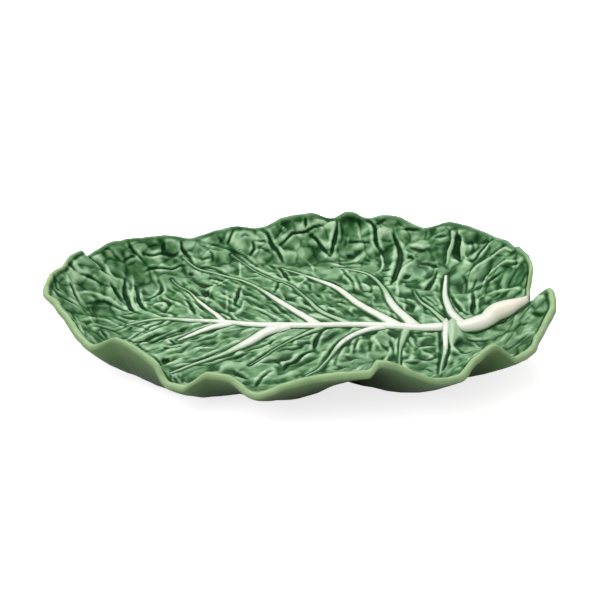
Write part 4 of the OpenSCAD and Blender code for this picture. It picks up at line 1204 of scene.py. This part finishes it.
def print_box(piece):
    span = np.array([v.co[:] for v in piece.data.vertices])
    print(piece.name, "box in mm:", np.round(span.min(0)/mm, 1), np.round(span.max(0)/mm, 1))

print_box(leaf)

# %% [markdown]
# ## The foot ring
# Under the floor a low ring follows the leaf's outline a little inside it.
# The glaze covers its sides, coloured with the underside's painted shade, and
# its resting face is wiped bare before the firing. At the front the ring is
# drawn in under the wall. A rounded profile is swept round it with Geometry Nodes.

# %% The foot ring's path
FOOT_STEPS, CORNER = 240, 1.0*mm
# how far it is drawn in at the front, and between which heights of the plan's circle that grows
DRAWN_IN, DRAWN_FROM, DRAWN_FULL = 11*mm, 0.2, 0.9
way = np.linspace(0, 2*np.pi, FOOT_STEPS + 1)[:-1]
fx, fy, _, _, begin, _ = spoke(way)
reach_out = np.hypot(fx, fy)
drawn = DRAWN_IN*soft_step(-np.sin(way), DRAWN_FROM, DRAWN_FULL)
middle_line = reach_out*begin - FOOT_INSET - FOOT_WID/2 - drawn
foot_path = np.column_stack([fx/reach_out*middle_line, fy/reach_out*middle_line,
                             np.full(FOOT_STEPS, FOOT_H/2)]) + SHIFT
print("foot path points:", len(foot_path))

# %% The foot tree
start, given = new_tree("sweep a foot", [
    ("Width", "NodeSocketFloat", FOOT_WID), ("Height", "NodeSocketFloat", FOOT_H),
    ("Corner", "NodeSocketFloat", CORNER), ("Finish", "NodeSocketMaterial", None)])
rail = start.node("GeometryNodeMeshToCurve", {}, {0: given["Geometry"]})
rail = start.node("GeometryNodeSetCurveNormal", {"mode": "Z_UP"}, {"Curve": rail})
box = start.node("GeometryNodeCurvePrimitiveQuadrilateral", {},
                 {"Width": given["Width"], "Height": given["Height"]})
box = start.node("GeometryNodeFilletCurve", {"mode": "POLY"},
                 {"Curve": box, "Count": 4, "Radius": given["Corner"]})
ring = start.node("GeometryNodeCurveToMesh", {}, {"Curve": rail, "Profile Curve": box})
foot_tree = close_tree(start, ring, given["Finish"])
print("foot tree nodes:", len(foot_tree.nodes))

# %% Glaze and sweep the foot
# the bare clay reaches up to here, along a line that wavers by so much
WIPED_TO, WIPED_GONE, WAVER, WAVER_WAVES = 0.5*mm, 1.1*mm, 1.2*mm, 120.0
CLAY_GRAIN, CLAY_DEPTH, CLAY_STRENGTH = 500.0, 0.2*mm, 0.4
GLAZED_ROUGH, CLAY_ROUGHER = 0.15, 0.6

foot_finish, start, shader = new_material("wiped foot glaze", IOR=1.3)
place = skin_place(start)
level = start.axis(place, 2) + (start.noise(place, WAVER_WAVES) - 0.5)*WAVER
wiped = level.step(WIPED_TO, WIPED_GONE, 1.0, 0.0)
bump = start.bump(start.noise(place, CLAY_GRAIN, 3.0), CLAY_DEPTH, CLAY_STRENGTH)
# the glazed sides take the underside's painted shade; the wiped face is bare clay
feed(start, shader, Base_Color=start.blend(wiped, UNDER_SHADE, BARE_CLAY), Normal=bump,
     Roughness=GLAZED_ROUGH + wiped*CLAY_ROUGHER)

line = bpy.data.meshes.new("foot route")
line.from_pydata(foot_path.tolist(), [(i, (i + 1) % FOOT_STEPS) for i in range(FOOT_STEPS)], [])
foot = grow(line, "glazed_foot", foot_tree, {"Finish": foot_finish})
print_box(foot)

# %% Every new piece rides on the dish and stands for its CAD node
pieces = [(rib, name, "pale_glaze" if name in PALE_RIBS else "cream_glaze") for name, rib in ribs.items()]
pieces += [(leaf, "leaf_blade", "leaf_glaze"), (foot, "foot_ring", "foot_glaze")]
for piece, node, glaze in pieces:
    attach(piece, "root")
    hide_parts(node)
print("pieces:", len(pieces))

# %% [markdown]
# ## Table, light and camera
# The photograph is a plain studio picture: white all round, soft light from
# above, and only a faint shadow. The floor shows white to the camera and
# still takes the shadow. The camera stands 0.92 m away, 24 degrees up.

# %% Floor and world
FLOOR_HALF = 6.0
WHITE, FLOOR_WHITE = (1, 1, 1, 1), (0.90, 0.90, 0.90, 1)
# what the floor and the sky add where the camera sees them, and the sky's light on everything
FLOOR_GLOW, SKY_GLOW, SKY_LIGHT = 0.75, 0.60, 0.40

floor_mesh = bpy.data.meshes.new("floor")
corners = [(x*FLOOR_HALF, y*FLOOR_HALF, 0) for x, y in ((-1, -1), (1, -1), (1, 1), (-1, 1))]
floor_mesh.from_pydata(corners, [], [(0, 1, 2, 3)])
floor_finish, start, shader = new_material("white floor", Roughness=0.9)
shader.inputs["Base Color"].default_value = FLOOR_WHITE
seen = start.node("ShaderNodeLightPath", out="Is Camera Ray")
glow = start.node("ShaderNodeEmission", {}, {"Color": WHITE, "Strength": seen*FLOOR_GLOW})
both = start.node("ShaderNodeAddShader", {}, {0: Socket(floor_finish.node_tree, shader.outputs[0]), 1: glow})
start.tree.links.new(both.link, floor_finish.node_tree.nodes["Material Output"].inputs["Surface"])
floor_mesh.materials.append(floor_finish)
put("floor", floor_mesh)

world = bpy.data.worlds.new("studio")
bpy.context.scene.world = world
world.use_nodes = True
start = Socket(world.node_tree)
seen = start.node("ShaderNodeLightPath", out="Is Camera Ray")
sky = world.node_tree.nodes["Background"]
world.node_tree.links.new((seen*SKY_GLOW + SKY_LIGHT).link, sky.inputs["Strength"])
sky.inputs["Color"].default_value = WHITE
print("world and floor are white")

# %% Lamps
LAMPS_AIM = 0, 0, 20*mm
# each lamp: where it stands, its width and length, and its watts
LAMPS = {"softbox above and behind": ((-0.15, 0.50, 1.1), 1.5, 0.9, 11.0),
         "softbox front left": ((-0.8, -1.0, 1.0), 1.0, 1.0, 7.0)}
for name, (place, width, length, watts) in LAMPS.items():
    data = bpy.data.lights.new(name, "AREA")
    data.shape, data.size, data.size_y, data.energy = "RECTANGLE", width, length, watts
    made = put(name, data)
    made.location = place
    aim = np.array(LAMPS_AIM) - np.array(place)
    made.rotation_euler = Vector(aim.tolist()).to_track_quat("-Z", "Y").to_euler()
print("lamps:", len(bpy.data.lights))

# %% Camera
SENSOR_MM, NEAREST_SEEN = 36.0, 0.05
camera = put("camera", bpy.data.cameras.new("camera"))
camera.data.sensor_width = SENSOR_MM
camera.data.lens = SENSOR_MM*FOCAL_PX/PHOTO_PX
camera.location = EYE
camera.rotation_euler = (np.pi/2 - LOOK_DOWN, 0, 0)
camera.data.clip_start = NEAREST_SEEN
bpy.context.scene.camera = camera
bpy.context.scene.view_settings.view_transform = "Standard"
print("lens in mm:", round(camera.data.lens, 2))
